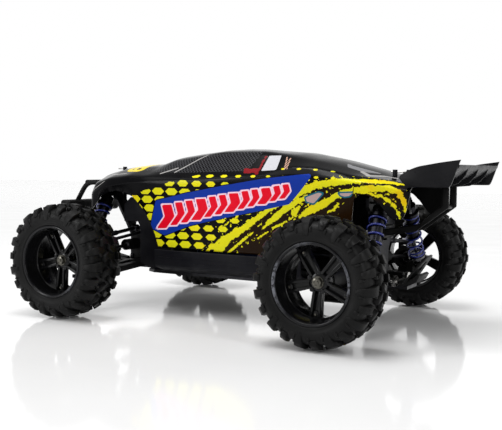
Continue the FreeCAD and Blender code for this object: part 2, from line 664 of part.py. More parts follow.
def center_link():
    top = (LINK_PLATE_Z, LINK_PLATE_Z + 4)
    back_x = BELL_X - STEER_ARM
    rod_z = TRACK_ROD_Z - LINK_Z
    bars = [block((back_x - 5, back_x + 5), (-BELL_Y - 5, BELL_Y + 5), top),
            block((back_x, STEER_X), (-6, 6), top),
            block((STEER_X - 4, STEER_X + 4), (-33, 33), top)]
    for side in (-1, 1):
        inner_y = side * (KINGPIN_Y - LINK_Y)
        bars.append(rod((STEER_X, side * 30, rod_z - 1), (STEER_X, inner_y, rod_z), 1.3))
        bars.append(ball((STEER_X, inner_y, rod_z), 3.0))
    holes = []
    for side, play in ((1, RUNNING), (-1, 0.15)):
        holes.append(rod((back_x, side * BELL_Y, 98), (back_x, side * BELL_Y, 108), PIN_RADIUS + play))
    return cut(fuse(bars), holes)


def track_rod():
    """Left track rod, from the centre link's ball to the knuckle's ball."""
    inner = (STEER_X, KINGPIN_Y - LINK_Y, TRACK_ROD_Z - LINK_Z)
    outer = (STEER_X, KINGPIN_Y, TRACK_ROD_Z)
    bar = fuse([rod(inner, outer, 2.2), ball(inner, 5), ball(outer, 5)])
    sockets = [ball(inner, 3.15), ball(outer, 3.15)]
    mouths = [block((STEER_X - 6, STEER_X + 6), (inner[1] - 6, inner[1] - 1.8), (inner[2] - 6, inner[2] + 6)),
              block((STEER_X - 6, STEER_X + 6), (outer[1] - 6, outer[1] + 6), (outer[2] - 6, outer[2] - 1.8))]
    neck_room = rod((STEER_X, outer[1], outer[2] - 6), (STEER_X, outer[1], outer[2]), 2.4)
    return cut(bar, sockets + mouths + [neck_room])


def servo_horn():
    y = -BELL_Y
    disc = rod((SERVO_X, y, 90.8), (SERVO_X, y, 95.5), 6)
    arm = block((SERVO_X - 3, SERVO_X + 3), (y - HORN_ARM - 3, y), (92, 95.5))
    pin = rod((SERVO_X, y - HORN_ARM, 95), (SERVO_X, y - HORN_ARM, BELL_Z + 9), SMALL_PIN)
    return fuse([disc, arm, pin])


def servo_link():
    y = -BELL_Y - HORN_ARM
    level = (BELL_Z + 5.5, BELL_Z + 8.5)
    bar = block((SERVO_X, BELL_X), (y - 2.2, y + 2.2), level)
    eyes = [rod((x, y, level[0]), (x, y, level[1]), 4.5) for x in (SERVO_X, BELL_X)]
    holes = [rod((SERVO_X, y, 90), (SERVO_X, y, 110), SMALL_PIN + RUNNING),
             rod((BELL_X, y, 90), (BELL_X, y, 110), SMALL_PIN + 0.15)]
    return cut(fuse([bar] + eyes), holes)


# ---- small metal parts ----
def pin_holders():
    holders = []
    for x in (HALF_WHEELBASE + 34, HALF_WHEELBASE - 38):
        plate = prism_yz([(-33, DECK), (33, DECK), (33, 62), (27, 66.5), (21, 66.5), (15, 60), (-15, 60),
                          (-21, 66.5), (-27, 66.5), (-33, 62)], (x, x + 4))
        holes = [rod((x - 1, side * ARM_IN[0], ARM_IN[1]), (x + 5, side * ARM_IN[0], ARM_IN[1]), PIN_RADIUS)
                 for side in (-1, 1)]
        holders.append(cut(plate, holes))
    return holders


def fasteners():
    pieces = []
    for sx in (1, -1):
        for holder in pin_holders():
            pieces.append(mirrored(holder, sx, 1))
        for side in (-1, 1):
            start = (HALF_WHEELBASE - 39.5, side * ARM_IN[0], ARM_IN[1])
            end = (HALF_WHEELBASE + 39.5, side * ARM_IN[0], ARM_IN[1])
            pieces.append(mirrored(rod(start, end, PIN_RADIUS), sx, 1))
    for x, y in screw_places():
        pieces.append(rod((x, y, PLATE_Z), (x, y, DECK), 1.6))
    pieces += steering_posts() + body_clips()
    return pieces


def body_clips():
    clips = []
    for (x, y), z in ((FRONT_POST, 193.0), (REAR_POSTS[0], 196.0), (REAR_POSTS[1], 196.0)):
        toward = 1 if x > 0 else -1
        leg = rod((x - toward * 5, y, z), (x + toward * 12, y, z), 0.8)
        loop = Part.makeTorus(5.5, 0.8, vec(x + toward * 17, y, z), vec(0, 0, 1))
        clips.append(fuse([leg, loop]))
    return clips


# ---- write every node ----
def save_fixed():
    save("chassis_plate", chassis_plate())
    save("side_guards", side_guards())
    save("bumpers", front_bumper() + rear_bumper())
    save("drive_housings", drive_housings())
    save("motor", motor())
    save("battery_pack", battery_pack())
    save("electronics", electronics())
    save("steering_servo", steering_servo())
    save("shock_towers", shock_towers())
    save("wing_mount", wing_mount())
    save("rear_wing", rear_wing())
    save("body_shell", body_shell())
    save("fasteners", fasteners())


def save_steering():
    for name, side in SIDES:
        save("steering_bellcrank_" + name, bellcrank(side))
        save("track_rod_" + name, mirrored(track_rod(), 1, side))
        save("hub_carrier_front_" + name, mirrored(steering_block_carrier(), 1, side))
        save("steering_knuckle_" + name, [mirrored(s, 1, side) for s in steering_knuckle()])
        save("hub_rear_" + name, [mirrored(s, -1, side) for s in rear_hub()])
    save("center_link", center_link())
    save("servo_horn", servo_horn())
    save("servo_link", servo_link())


def save_corners():
    makers = {"lower_arm_": lower_arm, "upper_link_": upper_link, "driveshaft_": driveshaft,
              "shock_body_": shock_body, "shock_rod_": shock_rod, "shock_spring_": shock_spring,
              "tyre_": tyre, "wheel_": wheel}
    for prefix, maker in makers.items():
        for corner, sx, sy in CORNERS:
            solids = maker()
            solids = solids if isinstance(solids, list) else [solids]
            save(prefix + corner, [mirrored(s, sx, sy) for s in solids])


def main():
    os.makedirs("parts", exist_ok=True)
    save_fixed()
    save("center_drivetrain", center_drivetrain())
    save("motor_pinion", motor_pinion())
    save_steering()
    save_corners()


main()
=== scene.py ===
"""Looks for the radio-controlled truggy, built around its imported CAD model.

Everything is in metres in the model's own frame: +X forward, +Y left, +Z up, ground at Z = 0.
MM turns the millimetre figures of an outline into metres. X in those outlines is measured from
the middle of the wheelbase, which is MID_X in the frame.
"""
import math
from contextlib import contextmanager

import bmesh
import bpy
import numpy as np
from mathutils import Matrix, Vector


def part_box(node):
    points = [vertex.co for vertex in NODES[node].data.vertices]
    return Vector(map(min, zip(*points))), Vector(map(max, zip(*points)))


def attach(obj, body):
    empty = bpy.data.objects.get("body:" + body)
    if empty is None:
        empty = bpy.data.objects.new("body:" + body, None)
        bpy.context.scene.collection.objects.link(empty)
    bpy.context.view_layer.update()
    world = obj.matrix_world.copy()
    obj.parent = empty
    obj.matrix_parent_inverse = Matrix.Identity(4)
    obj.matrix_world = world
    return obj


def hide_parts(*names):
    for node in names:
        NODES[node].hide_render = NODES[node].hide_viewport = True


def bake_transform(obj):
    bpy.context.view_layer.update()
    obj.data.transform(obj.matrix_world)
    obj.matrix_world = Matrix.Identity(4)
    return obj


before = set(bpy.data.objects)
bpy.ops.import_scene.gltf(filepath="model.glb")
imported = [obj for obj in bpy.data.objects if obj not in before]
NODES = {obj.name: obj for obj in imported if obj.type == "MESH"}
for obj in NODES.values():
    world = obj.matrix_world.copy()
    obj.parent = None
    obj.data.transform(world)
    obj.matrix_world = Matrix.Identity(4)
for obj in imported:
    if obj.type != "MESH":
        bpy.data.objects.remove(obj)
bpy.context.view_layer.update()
MM = 0.001
WELD = 0.01 * MM
BEND_STEPS = 6
CORNERS = ("front_left", "front_right", "rear_left", "rear_right")


def centre_of(node):
    low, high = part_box(node)
    return (low + high) / 2


WHEEL_AT = {c: centre_of("tyre_" + c) for c in CORNERS}
MID_X = (WHEEL_AT["front_left"].x + WHEEL_AT["rear_left"].x) / 2


# ---- mesh helpers ----
@contextmanager
def editing(mesh):
    """Opens a mesh for editing and writes it back."""
    bm = bmesh.new()
    bm.from_mesh(mesh)
    yield bm
    bm.to_mesh(mesh)
    bm.free()


def placed(name, data):
    """A new object in the scene."""
    obj = bpy.data.objects.new(name, data)
    bpy.context.scene.collection.objects.link(obj)
    return obj


def mesh_object(name, verts, faces, smooth=True):
    mesh = bpy.data.meshes.new(name)
    mesh.from_pydata([tuple(v) for v in verts], [], [tuple(int(i) for i in f) for f in faces])
    mesh.validate()
    mesh.update()
    mesh.polygons.foreach_set("use_smooth", [smooth] * len(mesh.polygons))
    return placed(name, mesh)


def clean(obj):
    """Welds doubled corners and turns all faces outwards."""
    with editing(obj.data) as bm:
        bmesh.ops.remove_doubles(bm, verts=bm.verts, dist=WELD)
        bmesh.ops.recalc_face_normals(bm, faces=bm.faces)
    return obj


def apply_modifiers(obj):
    graph = bpy.context.evaluated_depsgraph_get()
    mesh = bpy.data.meshes.new_from_object(obj.evaluated_get(graph))
    obj.modifiers.clear()
    obj.data = mesh
    return obj


def bevelled(obj, width, segments, angle=35):
    """Bevels the edges that turn by more than angle degrees; width is in millimetres."""
    bevel = obj.modifiers.new("bevel", "BEVEL")
    bevel.width = width * MM
    bevel.segments = segments
    bevel.limit_method = "ANGLE"
    bevel.angle_limit = math.radians(angle)
    apply_modifiers(obj)
    return shade_by_angle(obj, 40)


def shade_by_angle(obj, degrees):
    mesh = obj.data
    mesh.polygons.foreach_set("use_smooth", [True] * len(mesh.polygons))
    limit = math.radians(degrees)
    with editing(mesh) as bm:
        for edge in bm.edges:
            edge.smooth = len(edge.link_faces) != 2 or edge.calc_face_angle(0) <= limit
    return obj


def joined(name, objects):
    bpy.context.view_layer.update()
    bm = bmesh.new()
    for obj in objects:
        part = obj.data.copy()
        part.transform(obj.matrix_world)
        bm.from_mesh(part)
        bpy.data.meshes.remove(part)
    mesh = bpy.data.meshes.new(name)
    bm.to_mesh(mesh)
    bm.free()
    for obj in objects:
        bpy.data.objects.remove(obj)
    return placed(name, mesh)


def ring_of(name, profile, segments=96):
    """Turns a closed profile of (y, radius) points in millimetres about the Y axis."""
    verts = []
    for k in range(segments):
        a = 2 * math.pi * k / segments
        verts += [(r * MM * math.cos(a), y * MM, r * MM * math.sin(a)) for y, r in profile]
    n = len(profile)
    faces = []
    for k in range(segments):
        ahead = (k + 1) % segments
        for i in range(n):
            j = (i + 1) % n
            faces.append((k * n + i, k * n + j, ahead * n + j, ahead * n + i))
    return clean(mesh_object(name, verts, faces))


def prism(name, outline, low, high, axis="Y"):
    """Extrudes a closed outline: (x, z) points along Y or (y, z) points along X."""
    def place(p, along):
        return (p[0], along, p[1]) if axis == "Y" else (along, p[0], p[1])
    n = len(outline)
    verts = [place(p, low) for p in outline] + [place(p, high) for p in outline]
    faces = [tuple(range(n)), tuple(range(2 * n - 1, n - 1, -1))]
    faces += [(i, (i + 1) % n, n + (i + 1) % n, n + i) for i in range(n)]
    return clean(mesh_object(name, verts, faces, smooth=False))


def tube_along(name, points, radius, sides):
    """A round bar through points, with a ring at each and capped ends."""
    pts = [Vector(p) for p in points]
    n = len(pts)
    verts = []
    up = Vector((0, 0, 1))
    for i, p in enumerate(pts):
        d = (pts[min(i + 1, n - 1)] - pts[max(i - 1, 0)]).normalized()
        side = d.cross(up)
        side = side.normalized() if side.length > 0.05 else d.cross(Vector((0, 1, 0))).normalized()
        lift = side.cross(d)
        for s in range(sides):
            a = 2 * math.pi * s / sides
            verts.append(p + side * (radius * math.cos(a)) + lift * (radius * math.sin(a)))
    faces = []
    for start in range(0, (n - 1) * sides, sides):
        for s in range(sides):
            t = (s + 1) % sides
            faces.append((start + s, start + t, start + sides + t, start + sides + s))
    faces.append(tuple(range(sides)))
    faces.append(tuple(range((n - 1) * sides, n * sides)))
    return clean(mesh_object(name, verts, faces))


def rounded_path(points, radius):
    """Replaces each inner corner with a short curve."""
    pts = [Vector(p) for p in points]
    out = [pts[0]]
    for a, b, c in zip(pts, pts[1:], pts[2:]):
        back = b + (a - b).normalized() * min(radius, (a - b).length * 0.45)
        ahead = b + (c - b).normalized() * min(radius, (c - b).length * 0.45)
        for k in range(BEND_STEPS + 1):
            t = k / BEND_STEPS
            out.append(back * (1 - t) ** 2 + b * (2 * t * (1 - t)) + ahead * t ** 2)
    out.append(pts[-1])
    return out


def give(obj, material, body, replaced=()):
    """One material for the whole piece, its body and the CAD nodes it stands for."""
    obj.data.materials.clear()
    obj.data.materials.append(material)
    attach(obj, body)
    if replaced:
        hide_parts(*replaced)


# ---- materials ----
PLASTIC_WEAR = 0.006


class Nodes:
    """A short way to write a material's node tree."""

    def __init__(self, name):
        self.material = bpy.data.materials.new(name)
        self.material.use_nodes = True
        self.tree = self.material.node_tree
        self.shader = self.tree.nodes["Principled BSDF"]

    def add(self, kind, inputs=None, **settings):
        node = self.tree.nodes.new(kind)
        for key, value in settings.items():
            setattr(node, key, value)
        for key, value in (inputs or {}).items():
            self.put(node, key, value)
        return node

    def put(self, node, key, value):
        socket = node.inputs[key]
        if isinstance(value, bpy.types.NodeSocket):
            self.tree.links.new(value, socket)
        else:
            socket.default_value = value

    def made(self, colour, rough, normal=None, **more):
        """The finished material; the other looks are named as on the shader, with _ for a space."""
        values = {"Base_Color": colour, "Roughness": rough, **more}
        if normal is not None:
            values["Normal"] = normal
        for key, value in values.items():
            self.put(self.shader, key.replace("_", " "), value)
        return self.material

    def place(self):
        return self.add("ShaderNodeTexCoord").outputs["Object"]

    def noise(self, scale, detail=4.0, roughness=0.55, vector=None):
        settings = {"Scale": scale, "Detail": detail, "Roughness": roughness}
        settings["Vector"] = vector or self.place()
        return self.add("ShaderNodeTexNoise", settings).outputs["Fac"]

    def ramp(self, value, stops):
        node = self.add("ShaderNodeValToRGB", {"Fac": value})
        elements = node.color_ramp.elements
        while len(elements) < len(stops):
            elements.new(0.5)
        for element, (position, colour) in zip(elements, stops):
            element.position = position
            element.color = (*colour, 1)
        return node.outputs["Color"]

    def grey_ramp(self, value, low, high, start=0.3, end=0.7):
        return self.ramp(value, [(start, (low,) * 3), (end, (high,) * 3)])

    def math(self, operation, a, b=0.0, clamp=False):
        node = self.add("ShaderNodeMath", {0: a, 1: b}, operation=operation, use_clamp=clamp)
        return node.outputs[0]

    def mix(self, factor, a, b):
        node = self.add("ShaderNodeMix", data_type="RGBA")
        self.put(node, 0, factor)
        self.put(node, 6, (*a, 1) if isinstance(a, tuple) else a)
        self.put(node, 7, (*b, 1) if isinstance(b, tuple) else b)
        return node.outputs[2]

    def bump(self, height, strength, distance, below=None):
        values = {"Height": height, "Strength": strength, "Distance": distance}
        if below:
            values["Normal"] = below
        return self.add("ShaderNodeBump", values).outputs["Normal"]

    def field(self, name):
        return self.add("ShaderNodeAttribute", attribute_name=name).outputs["Fac"]

    def inside(self, name, edge=0.0, softness=0.25):
        """1 where the distance field is below edge, with a narrow soft border, in millimetres."""
        gap = self.math("SUBTRACT", edge, self.field(name))
        return self.math("ADD", self.math("DIVIDE", gap, softness), 0.5, clamp=True)

    def brushed(self, name, amount):
        """Like inside(), with a torn edge that wanders by about amount millimetres."""
        torn = self.math("MULTIPLY", self.math("SUBTRACT", self.noise(260, 3.0, 0.6), 0.5), amount * 2)
        gap = self.math("SUBTRACT", torn, self.field(name))
        return self.math("ADD", self.math("DIVIDE", gap, 0.4), 0.5, clamp=True)


def moulded_plastic(name, colour, rough, grain=900, strength=0.25):
    n = Nodes(name)
    worn = tuple(c + PLASTIC_WEAR for c in colour)
    tint = n.ramp(n.noise(35), [(0.35, colour), (0.75, worn)])
    grained = n.bump(n.noise(grain, 2.0), strength, 0.0002)
    return n.made(tint, n.grey_ramp(n.noise(120), *rough), grained, Specular_IOR_Level=0.10)


def metal(name, colour, rough, brushed=(1, 1, 1)):
    n = Nodes(name)
    stretched = n.add("ShaderNodeMapping", {"Vector": n.place(), "Scale": brushed}).outputs[0]
    tint = n.ramp(n.noise(60), [(0.3, tuple(c * 0.82 for c in colour)), (0.7, colour)])
    lines = n.bump(n.noise(420, vector=stretched), 0.08, 0.0001)
    return n.made(tint, n.grey_ramp(n.noise(260, vector=stretched), *rough), lines, Metallic=1.0)


def tyre_rubber():
    n = Nodes("tyre_rubber")
    scuff = n.noise(26, 6.0, 0.7)
    tint = n.ramp(scuff, [(0.35, (0.0012, 0.0012, 0.0012)), (0.62, (0.003, 0.003, 0.003)),
                          (0.82, (0.012, 0.012, 0.011))])
    rough_skin = n.bump(scuff, 0.3, 0.0008, n.bump(n.noise(700, 3.0), 0.35, 0.0003))
    return n.made(tint, n.grey_ramp(n.noise(60), 0.34, 0.56), rough_skin, Specular_IOR_Level=0.14)


def gloss_wheel():
    n = Nodes("gloss_wheel")
    tint = n.ramp(n.noise(30), [(0.3, (0.002, 0.002, 0.002)), (0.8, (0.005, 0.005, 0.006))])
    rough = n.grey_ramp(n.noise(90, 5.0), 0.12, 0.26)
    return n.made(tint, rough, n.bump(n.noise(180), 0.06, 0.0003), Specular_IOR_Level=0.2)


def worn_lip():
    """Wheel lip whose black gloss is rubbed back to a pale edge in streaks."""
    n = Nodes("worn_lip")
    stretched = n.add("ShaderNodeMapping", {"Vector": n.place(), "Scale": (1, 6, 1)}).outputs[0]
    streaks = n.ramp(n.noise(190, 6.0, 0.75, stretched), [(0.42, (0, 0, 0)), (0.56, (1, 1, 1))])
    patches = n.ramp(n.noise(13, 2.0), [(0.50, (0, 0, 0)), (0.62, (1, 1, 1))])
    worn = n.math("MULTIPLY", streaks, patches)
    tint = n.mix(worn, (0.003, 0.003, 0.004), (0.13, 0.135, 0.155))
    rough = n.grey_ramp(worn, 0.18, 0.42, 0.0, 1.0)
    return n.made(tint, rough, n.bump(worn, 0.3, 0.0002), Specular_IOR_Level=0.2)


def blue_spring():
    n = Nodes("blue_spring")
    tint = n.ramp(n.noise(80), [(0.3, (0.004, 0.010, 0.12)), (0.8, (0.008, 0.022, 0.24))])
    return n.made(tint, n.grey_ramp(n.noise(200), 0.22, 0.38), n.bump(n.noise(500), 0.06, 0.0001),
                  Metallic=0.35, Coat_Weight=0.6, Coat_Roughness=0.12)


def studio_floor():
    n = Nodes("studio_floor")
    tint = n.ramp(n.noise(3), [(0.3, (0.86, 0.86, 0.86)), (0.7, (0.9, 0.9, 0.9))])
    return n.made(tint, n.grey_ramp(n.noise(6), 0.06, 0.12), Specular_IOR_Level=0.55)


def honeycomb(n):
    """Thin crossing lines, as on a printed mesh window."""
    split = n.add("ShaderNodeSeparateXYZ", {"Vector": n.place()})
    along = n.math("MULTIPLY", split.outputs["X"], 620.0)
    rise = n.math("MULTIPLY", split.outputs["Z"], 820.0)
    one = n.math("ABSOLUTE", n.math("SINE", n.math("ADD", along, rise)))
    other = n.math("ABSOLUTE", n.math("SINE", n.math("SUBTRACT", along, rise)))
    return n.math("LESS_THAN", n.math("MINIMUM", one, other), 0.30)


def cells(n):
    """Six-sided cells in leaning rows; the size field shrinks them and the room field bounds them."""
    along = n.math("DIVIDE", n.add("ShaderNodeSeparateXYZ", {"Vector": n.place()}).outputs["X"], MM)
    rise = n.math("SUBTRACT", n.field("height"), CELL_ORIGIN[1])
    row = n.math("ROUND", n.math("DIVIDE", rise, CELL_PITCH[1]))
    middle = n.math("MULTIPLY", row, CELL_PITCH[1])
    start = n.math("ADD", n.math("MULTIPLY", middle, CELL_LEAN), CELL_ORIGIN[0] + MID_X / MM)
    across = n.math("SUBTRACT", along, start)
    column = n.math("ROUND", n.math("DIVIDE", across, CELL_PITCH[0]))
    dx = n.math("ABSOLUTE", n.math("SUBTRACT", across, n.math("MULTIPLY", column, CELL_PITCH[0])))
    dz = n.math("ABSOLUTE", n.math("SUBTRACT", rise, middle))
    flat = n.math("DIVIDE", dz, CELL_HALF[1])
    slope = n.math("ADD", n.math("DIVIDE", dx, CELL_HALF[0]), n.math("DIVIDE", flat, 2.0))
    gap = n.math("SUBTRACT", n.field("size"), n.math("MAXIMUM", flat, slope))
    return n.math("MULTIPLY", n.math("DIVIDE", gap, 0.05, clamp=True), n.inside("room"))


# prints on the shell, lowest first: field, border in millimetres, colour; the grey band along the roof's rear
# edge is a painted reflection, not a print, and the lines field holds a painted highlight beside it
PRINTS_AND_SHEEN = [("hood", 0.0, (0.80, 0.60, 0.010)), ("crest", 1.8, (0.008, 0.11, 0.17)),
          ("crest", 0.0, (0.42, 0.30, 0.29)), ("band", 3.4, (0.006, 0.030, 0.27)),
          ("arrows", 1.9, (0.80, 0.55, 0.66)), ("arrows", 0.0, (0.66, 0.004, 0.018)),
          ("painted_sheen", 0.0, (0.20, 0.20, 0.21)), ("red_trim", 0.0, (0.20, 0.006, 0.010)),
          ("pane", 1.2, (0.002, 0.002, 0.002)), ("pane", 0.0, (0.50, 0.50, 0.53)),
          ("lines", 0.0, (0.34, 0.33, 0.32)), ("tan", 0.0, (0.50, 0.30, 0.22))]


def livery():
    """Black shell with yellow cells and brush strokes, a blue panel of red arrows, mesh and pale windows."""
    n = Nodes("livery")
    tint = n.noise(22, 3.0)
    yellow = n.ramp(tint, [(0.42, (0.62, 0.60, 0.010)), (0.60, (0.70, 0.62, 0.008)),
                           (0.72, (0.74, 0.50, 0.006))])
    colour = n.mix(n.inside("brown", 0.0, 6.0), (0.0015, 0.0015, 0.002), (0.011, 0.0045, 0.001))
    colour = n.mix(n.math("MULTIPLY", n.inside("mesh"), honeycomb(n)), colour, (0.055, 0.055, 0.06))
    colour = n.mix(cells(n), colour, yellow)
    colour = n.mix(n.brushed("strokes", 2.6), colour, yellow)
    flecks = n.math("GREATER_THAN", n.noise(210, 2.0, 0.6), 0.635)
    colour = n.mix(n.math("MULTIPLY", flecks, n.inside("strokes", 6.5)), colour, yellow)
    for name, border, tone in PRINTS_AND_SHEEN:
        colour = n.mix(n.inside(name, border), colour, tone)
    waves = n.bump(n.noise(28, 2.0), 0.05, 0.002)
    return n.made(colour, n.grey_ramp(n.noise(50), 0.13, 0.24), waves, Specular_IOR_Level=0.07)


# ---- distance fields for the livery ----
def polygon_distance(px, pz, polygon):
    """Signed distance in millimetres from points to a closed outline, negative inside."""
    best = np.full(px.shape, 1e9)
    inside = np.zeros(px.shape, bool)
    for (ax, az), (bx, bz) in zip(polygon, polygon[1:] + polygon[:1]):
        ex, ez = bx - ax, bz - az
        wx, wz = px - ax, pz - az
        t = np.clip((wx * ex + wz * ez) / (ex * ex + ez * ez), 0, 1)
        best = np.minimum(best, (wx - ex * t) ** 2 + (wz - ez * t) ** 2)
        crosses = (az > pz) != (bz > pz)
        slope = ex * (pz - az) / (ez if ez else 1e-9) + ax
        inside ^= crosses & (px < slope)
    distance = np.sqrt(best)
    return np.where(inside, -distance, distance)


def stroke_distance(px, pz, stroke):
    """Distance to a brush stroke: (x, z, half width) points joined by tapering runs."""
    best = np.full(px.shape, 1e9)
    for (ax, az, ar), (bx, bz, br) in zip(stroke, stroke[1:]):
        ex, ez = bx - ax, bz - az
        t = np.clip(((px - ax) * ex + (pz - az) * ez) / (ex * ex + ez * ez), 0, 1)
        gap = np.hypot(px - ax - ex * t, pz - az - ez * t)
        best = np.minimum(best, gap - (ar + (br - ar) * t))
    return best


def union(distances):
    return np.minimum.reduce(distances)


def ragged(px, pz, size, amount):
    """A fixed rough edge for the brush strokes."""
    wave = np.sin(px * 1.7 / size + 2.0 * np.sin(pz * 0.9 / size)) + np.sin(pz * 2.3 / size + px * 0.6 / size)
    return amount * (wave + 0.6 * np.sin(px * 4.1 / size - pz * 3.3 / size))


# printed marks, in millimetres, with a painted reflection and a painted highlight among them: (x, height)
# outlines and (x, height, half width) strokes
FAR = 50.0                            # stands for "well outside" in a distance field
CELL_PITCH = (21.5, 11.6)
CELL_HALF = (10.1, 4.8)
CELL_ORIGIN = (8.0, 95.0)
CELL_LEAN = 0.32                      # shift along the car per millimetre of height

STROKES = [
    [(4, 86, 5.8), (-13, 106, 5.2), (-38, 122, 4.2), (-59, 137, 3.2), (-76, 148, 2.4), (-94, 157, 0.8)],
    [(18, 88, 1.4), (2, 100, 2.0), (-12, 111, 1.0)],
    [(-14, 88, 1.4), (-33, 104, 1.6), (-50, 116, 0.7)],
    [(-2, 121, 0.9), (-20, 131, 0.9), (-30, 138, 0.5)],
    [(-104, 163, 5.0), (-116, 171, 5.0), (-133, 178, 4.2), (-153, 182, 3.8), (-178, 185, 4.0),
     (-216, 187.5, 3.8), (-238, 186, 2.2)],
    [(-166, 171, 1.6), (-185, 174, 3.2), (-205, 176, 4.0), (-225, 177, 3.8), (-236, 172, 3.2),
     (-242, 162, 2.8), (-245, 148, 1.6)],
    [(-212, 169, 1.4), (-224, 163, 2.0), (-232, 155, 1.8), (-238, 144, 1.0)],
    [(-62, 121, 0.8), (-73, 131, 3.2), (-84, 140, 4.0), (-99, 151, 4.0), (-117, 161, 3.0), (-130, 167, 0.8)],
    [(-106, 142, 3.4), (-112, 151, 2.2)],
    [(-114, 139, 2.0), (-125, 146, 4.6), (-145, 156, 4.6), (-164, 168, 3.0)],
    [(-78, 123, 1.2), (-102, 136, 1.6), (-110, 140, 0.6)],
    [(-50, 104, 0.8), (-66, 116, 1.1), (-76, 120, 0.5)],
    [(-150, 146, 1.2), (-158, 150, 1.8), (-164, 157, 0.8)],
    [(-188, 171, 0.8), (-202, 170.5, 1.8), (-212, 166, 0.8)],
]
BROWN_ZONE = [(10, 84), (-62, 142), (-104, 158), (-116, 166), (-160, 178), (-240, 182), (-248, 150),
              (-205, 164), (-186, 160), (-184, 130), (-120, 80)]
CRESTS = [[(-121, 163), (-138, 169.5), (-143, 168.5), (-132, 156), (-123, 158)],
          [(-164, 169.5), (-181, 170.5), (-177, 166.5), (-171, 165.6), (-166, 167)]]
PANE = [(-57, 214), (-73, 214.5), (-78, 196), (-56, 194.5)]
MESH_ZONE = [(112, 190), (100, 206), (49, 213), (-19, 219), (-46, 219), (-36, 194), (60, 190)]
RED_TRIM = [[(-28, 196.5), (-51, 198), (-52, 191.5), (-33, 190.5)],
            [(-51.2, 213), (-54.2, 213), (-53.6, 190), (-50.4, 190)]]
# a painted reflection: the grey band of light along the roof's rear edge, drawn as if it were a print
PAINTED_SHEEN = [(-150, 207.5), (-172, 204), (-200, 196), (-198, 193.5), (-180, 195.5), (-160, 201)]
PALE_LINES = [[(98, 188, 0.8), (76, 196, 0.8)],
              [(214, 178, 0.5), (196, 184, 0.5), (160, 187, 0.4)],
              [(228, 150, 0.4), (222, 166, 0.5), (206, 180, 0.5)],
              [(217, 146, 0.4), (210, 163, 0.5), (190, 176, 0.4)],
              [(76, 190, 0.8), (51, 208, 0.8), (40, 214, 0.6)],
              [(-178, 196, 0.7), (-192, 191, 0.7), (-210, 190.5, 0.7), (-222, 188.5, 0.7)],
              # the next run is a painted highlight along the roof's rear edge; the runs above are printed
              # lines
              [(-120, 212, 0.5), (-150, 209, 0.6), (-176, 205, 0.6), (-200, 197.5, 0.6)]]
TAN_LINES = [[(-82, 212, 0.9), (-90, 197, 0.9)], [(-87, 211, 0.9), (-93, 198, 0.9)]]
HOOD_PANEL = [(173, 191.6), (167, 189.4), (145, 189.8), (139, 192), (136, 230), (176, 230)]
HOOD_STRIPES = [[(164, 192), (160, 192), (161, 194), (165, 194)],
                [(154, 192.4), (147, 192.6), (148, 195), (155, 195)]]
HOOD_MESH = [(135, 191.4), (111, 192.6), (104, 197), (102, 230), (133, 230)]
BAND = [(104, 117), (96, 149), (50, 160), (0, 170), (-61, 181), (-124, 189), (-111, 172), (-98, 157),
        (-52, 146), (0, 134.5), (44, 124), (84, 109)]
ARROW_COUNT = 12
FIRST_ARROW = 97.0                    # its lower front corner along the car


def arrows():
    """A row of arrows that climbs towards the back and shrinks; every third one is broad."""
    bars = []
    x = FIRST_ARROW
    for k in range(ARROW_COUNT):
        share = k / (ARROW_COUNT - 1)
        middle = 130.8 + (FIRST_ARROW - x) * 0.212
        half = 16.5 - 7.0 * share
        width = (11.5 if k % 3 else 15.5) - 3.0 * share
        lean = half * 0.25
        point = 9.0 - 4.0 * share
        back = x - width
        bars.append([(x, middle - half), (back, middle - half + 1), (back - point - lean, middle + 1),
                     (back - 2 * lean, middle + half), (x - 2 * lean, middle + half - 1),
                     (x - point - lean, middle)])
        x -= width + 5.6 - 1.4 * share
    return bars


def cell_size(px, q):
    """How full the cells are: whole at the sill, small towards the roof and the tail, none on the nose."""
    size = 1.0 - np.clip(60 - px, 0, 400) / 280 - np.clip(q - 165, 0, 300) / 110
    size = np.where((px > -165) & (q < 209), np.clip(size, 0.34, 1.0), 0.0)
    return np.where((px > 133 - 3.3 * np.clip(q - 160, 0, 40)) & (q > 160), 0.0, size)


def livery_fields(x, y, z, q, on_roof):
    """All fields on the shell, in millimetres, for both sides at once; q is the height along the skin."""
    rough = ragged(x, q, 3.0, 0.42)
    strokes = union([stroke_distance(x, q, s) for s in STROKES]) + rough
    stripes = union([polygon_distance(x, z, stripe) for stripe in HOOD_STRIPES])
    brown = polygon_distance(x, q, BROWN_ZONE)
    mesh = polygon_distance(x, z, MESH_ZONE)
    band = polygon_distance(x, q, BAND)
    room = np.maximum(np.maximum(-brown, 4.5 - band), np.where((mesh < 1) | on_roof | (x > 190), FAR, -FAR))
    away = np.where(on_roof, FAR, -FAR)
    return {
        "brown": np.maximum(brown, away),
        "height": q,
        "size": cell_size(x, q),
        "room": room,
        "strokes": np.maximum(strokes, away),
        "hood": np.maximum(polygon_distance(x, z, HOOD_PANEL), -stripes),
        "crest": union([polygon_distance(x, q, c) for c in CRESTS]),
        "band": band,
        "arrows": union([polygon_distance(x, q, bar) for bar in arrows()]),
        "mesh": np.minimum(np.maximum(mesh, away), polygon_distance(x, z, HOOD_MESH)),
        # the painted reflection along the roof's rear edge
        "painted_sheen": np.maximum(polygon_distance(x, z, PAINTED_SHEEN), np.where(np.abs(y) < 34, FAR, -FAR)),
        "red_trim": np.maximum(union([polygon_distance(x, z, r) for r in RED_TRIM]) + rough, away),
        "pane": np.maximum(polygon_distance(x, z, PANE), away),
        # printed pale lines, with one painted highlight along the roof's rear edge
        "lines": np.maximum(union([stroke_distance(x, z, s) for s in PALE_LINES]), away),
        "tan": np.maximum(union([stroke_distance(x, z, s) for s in TAN_LINES]), away),
    }


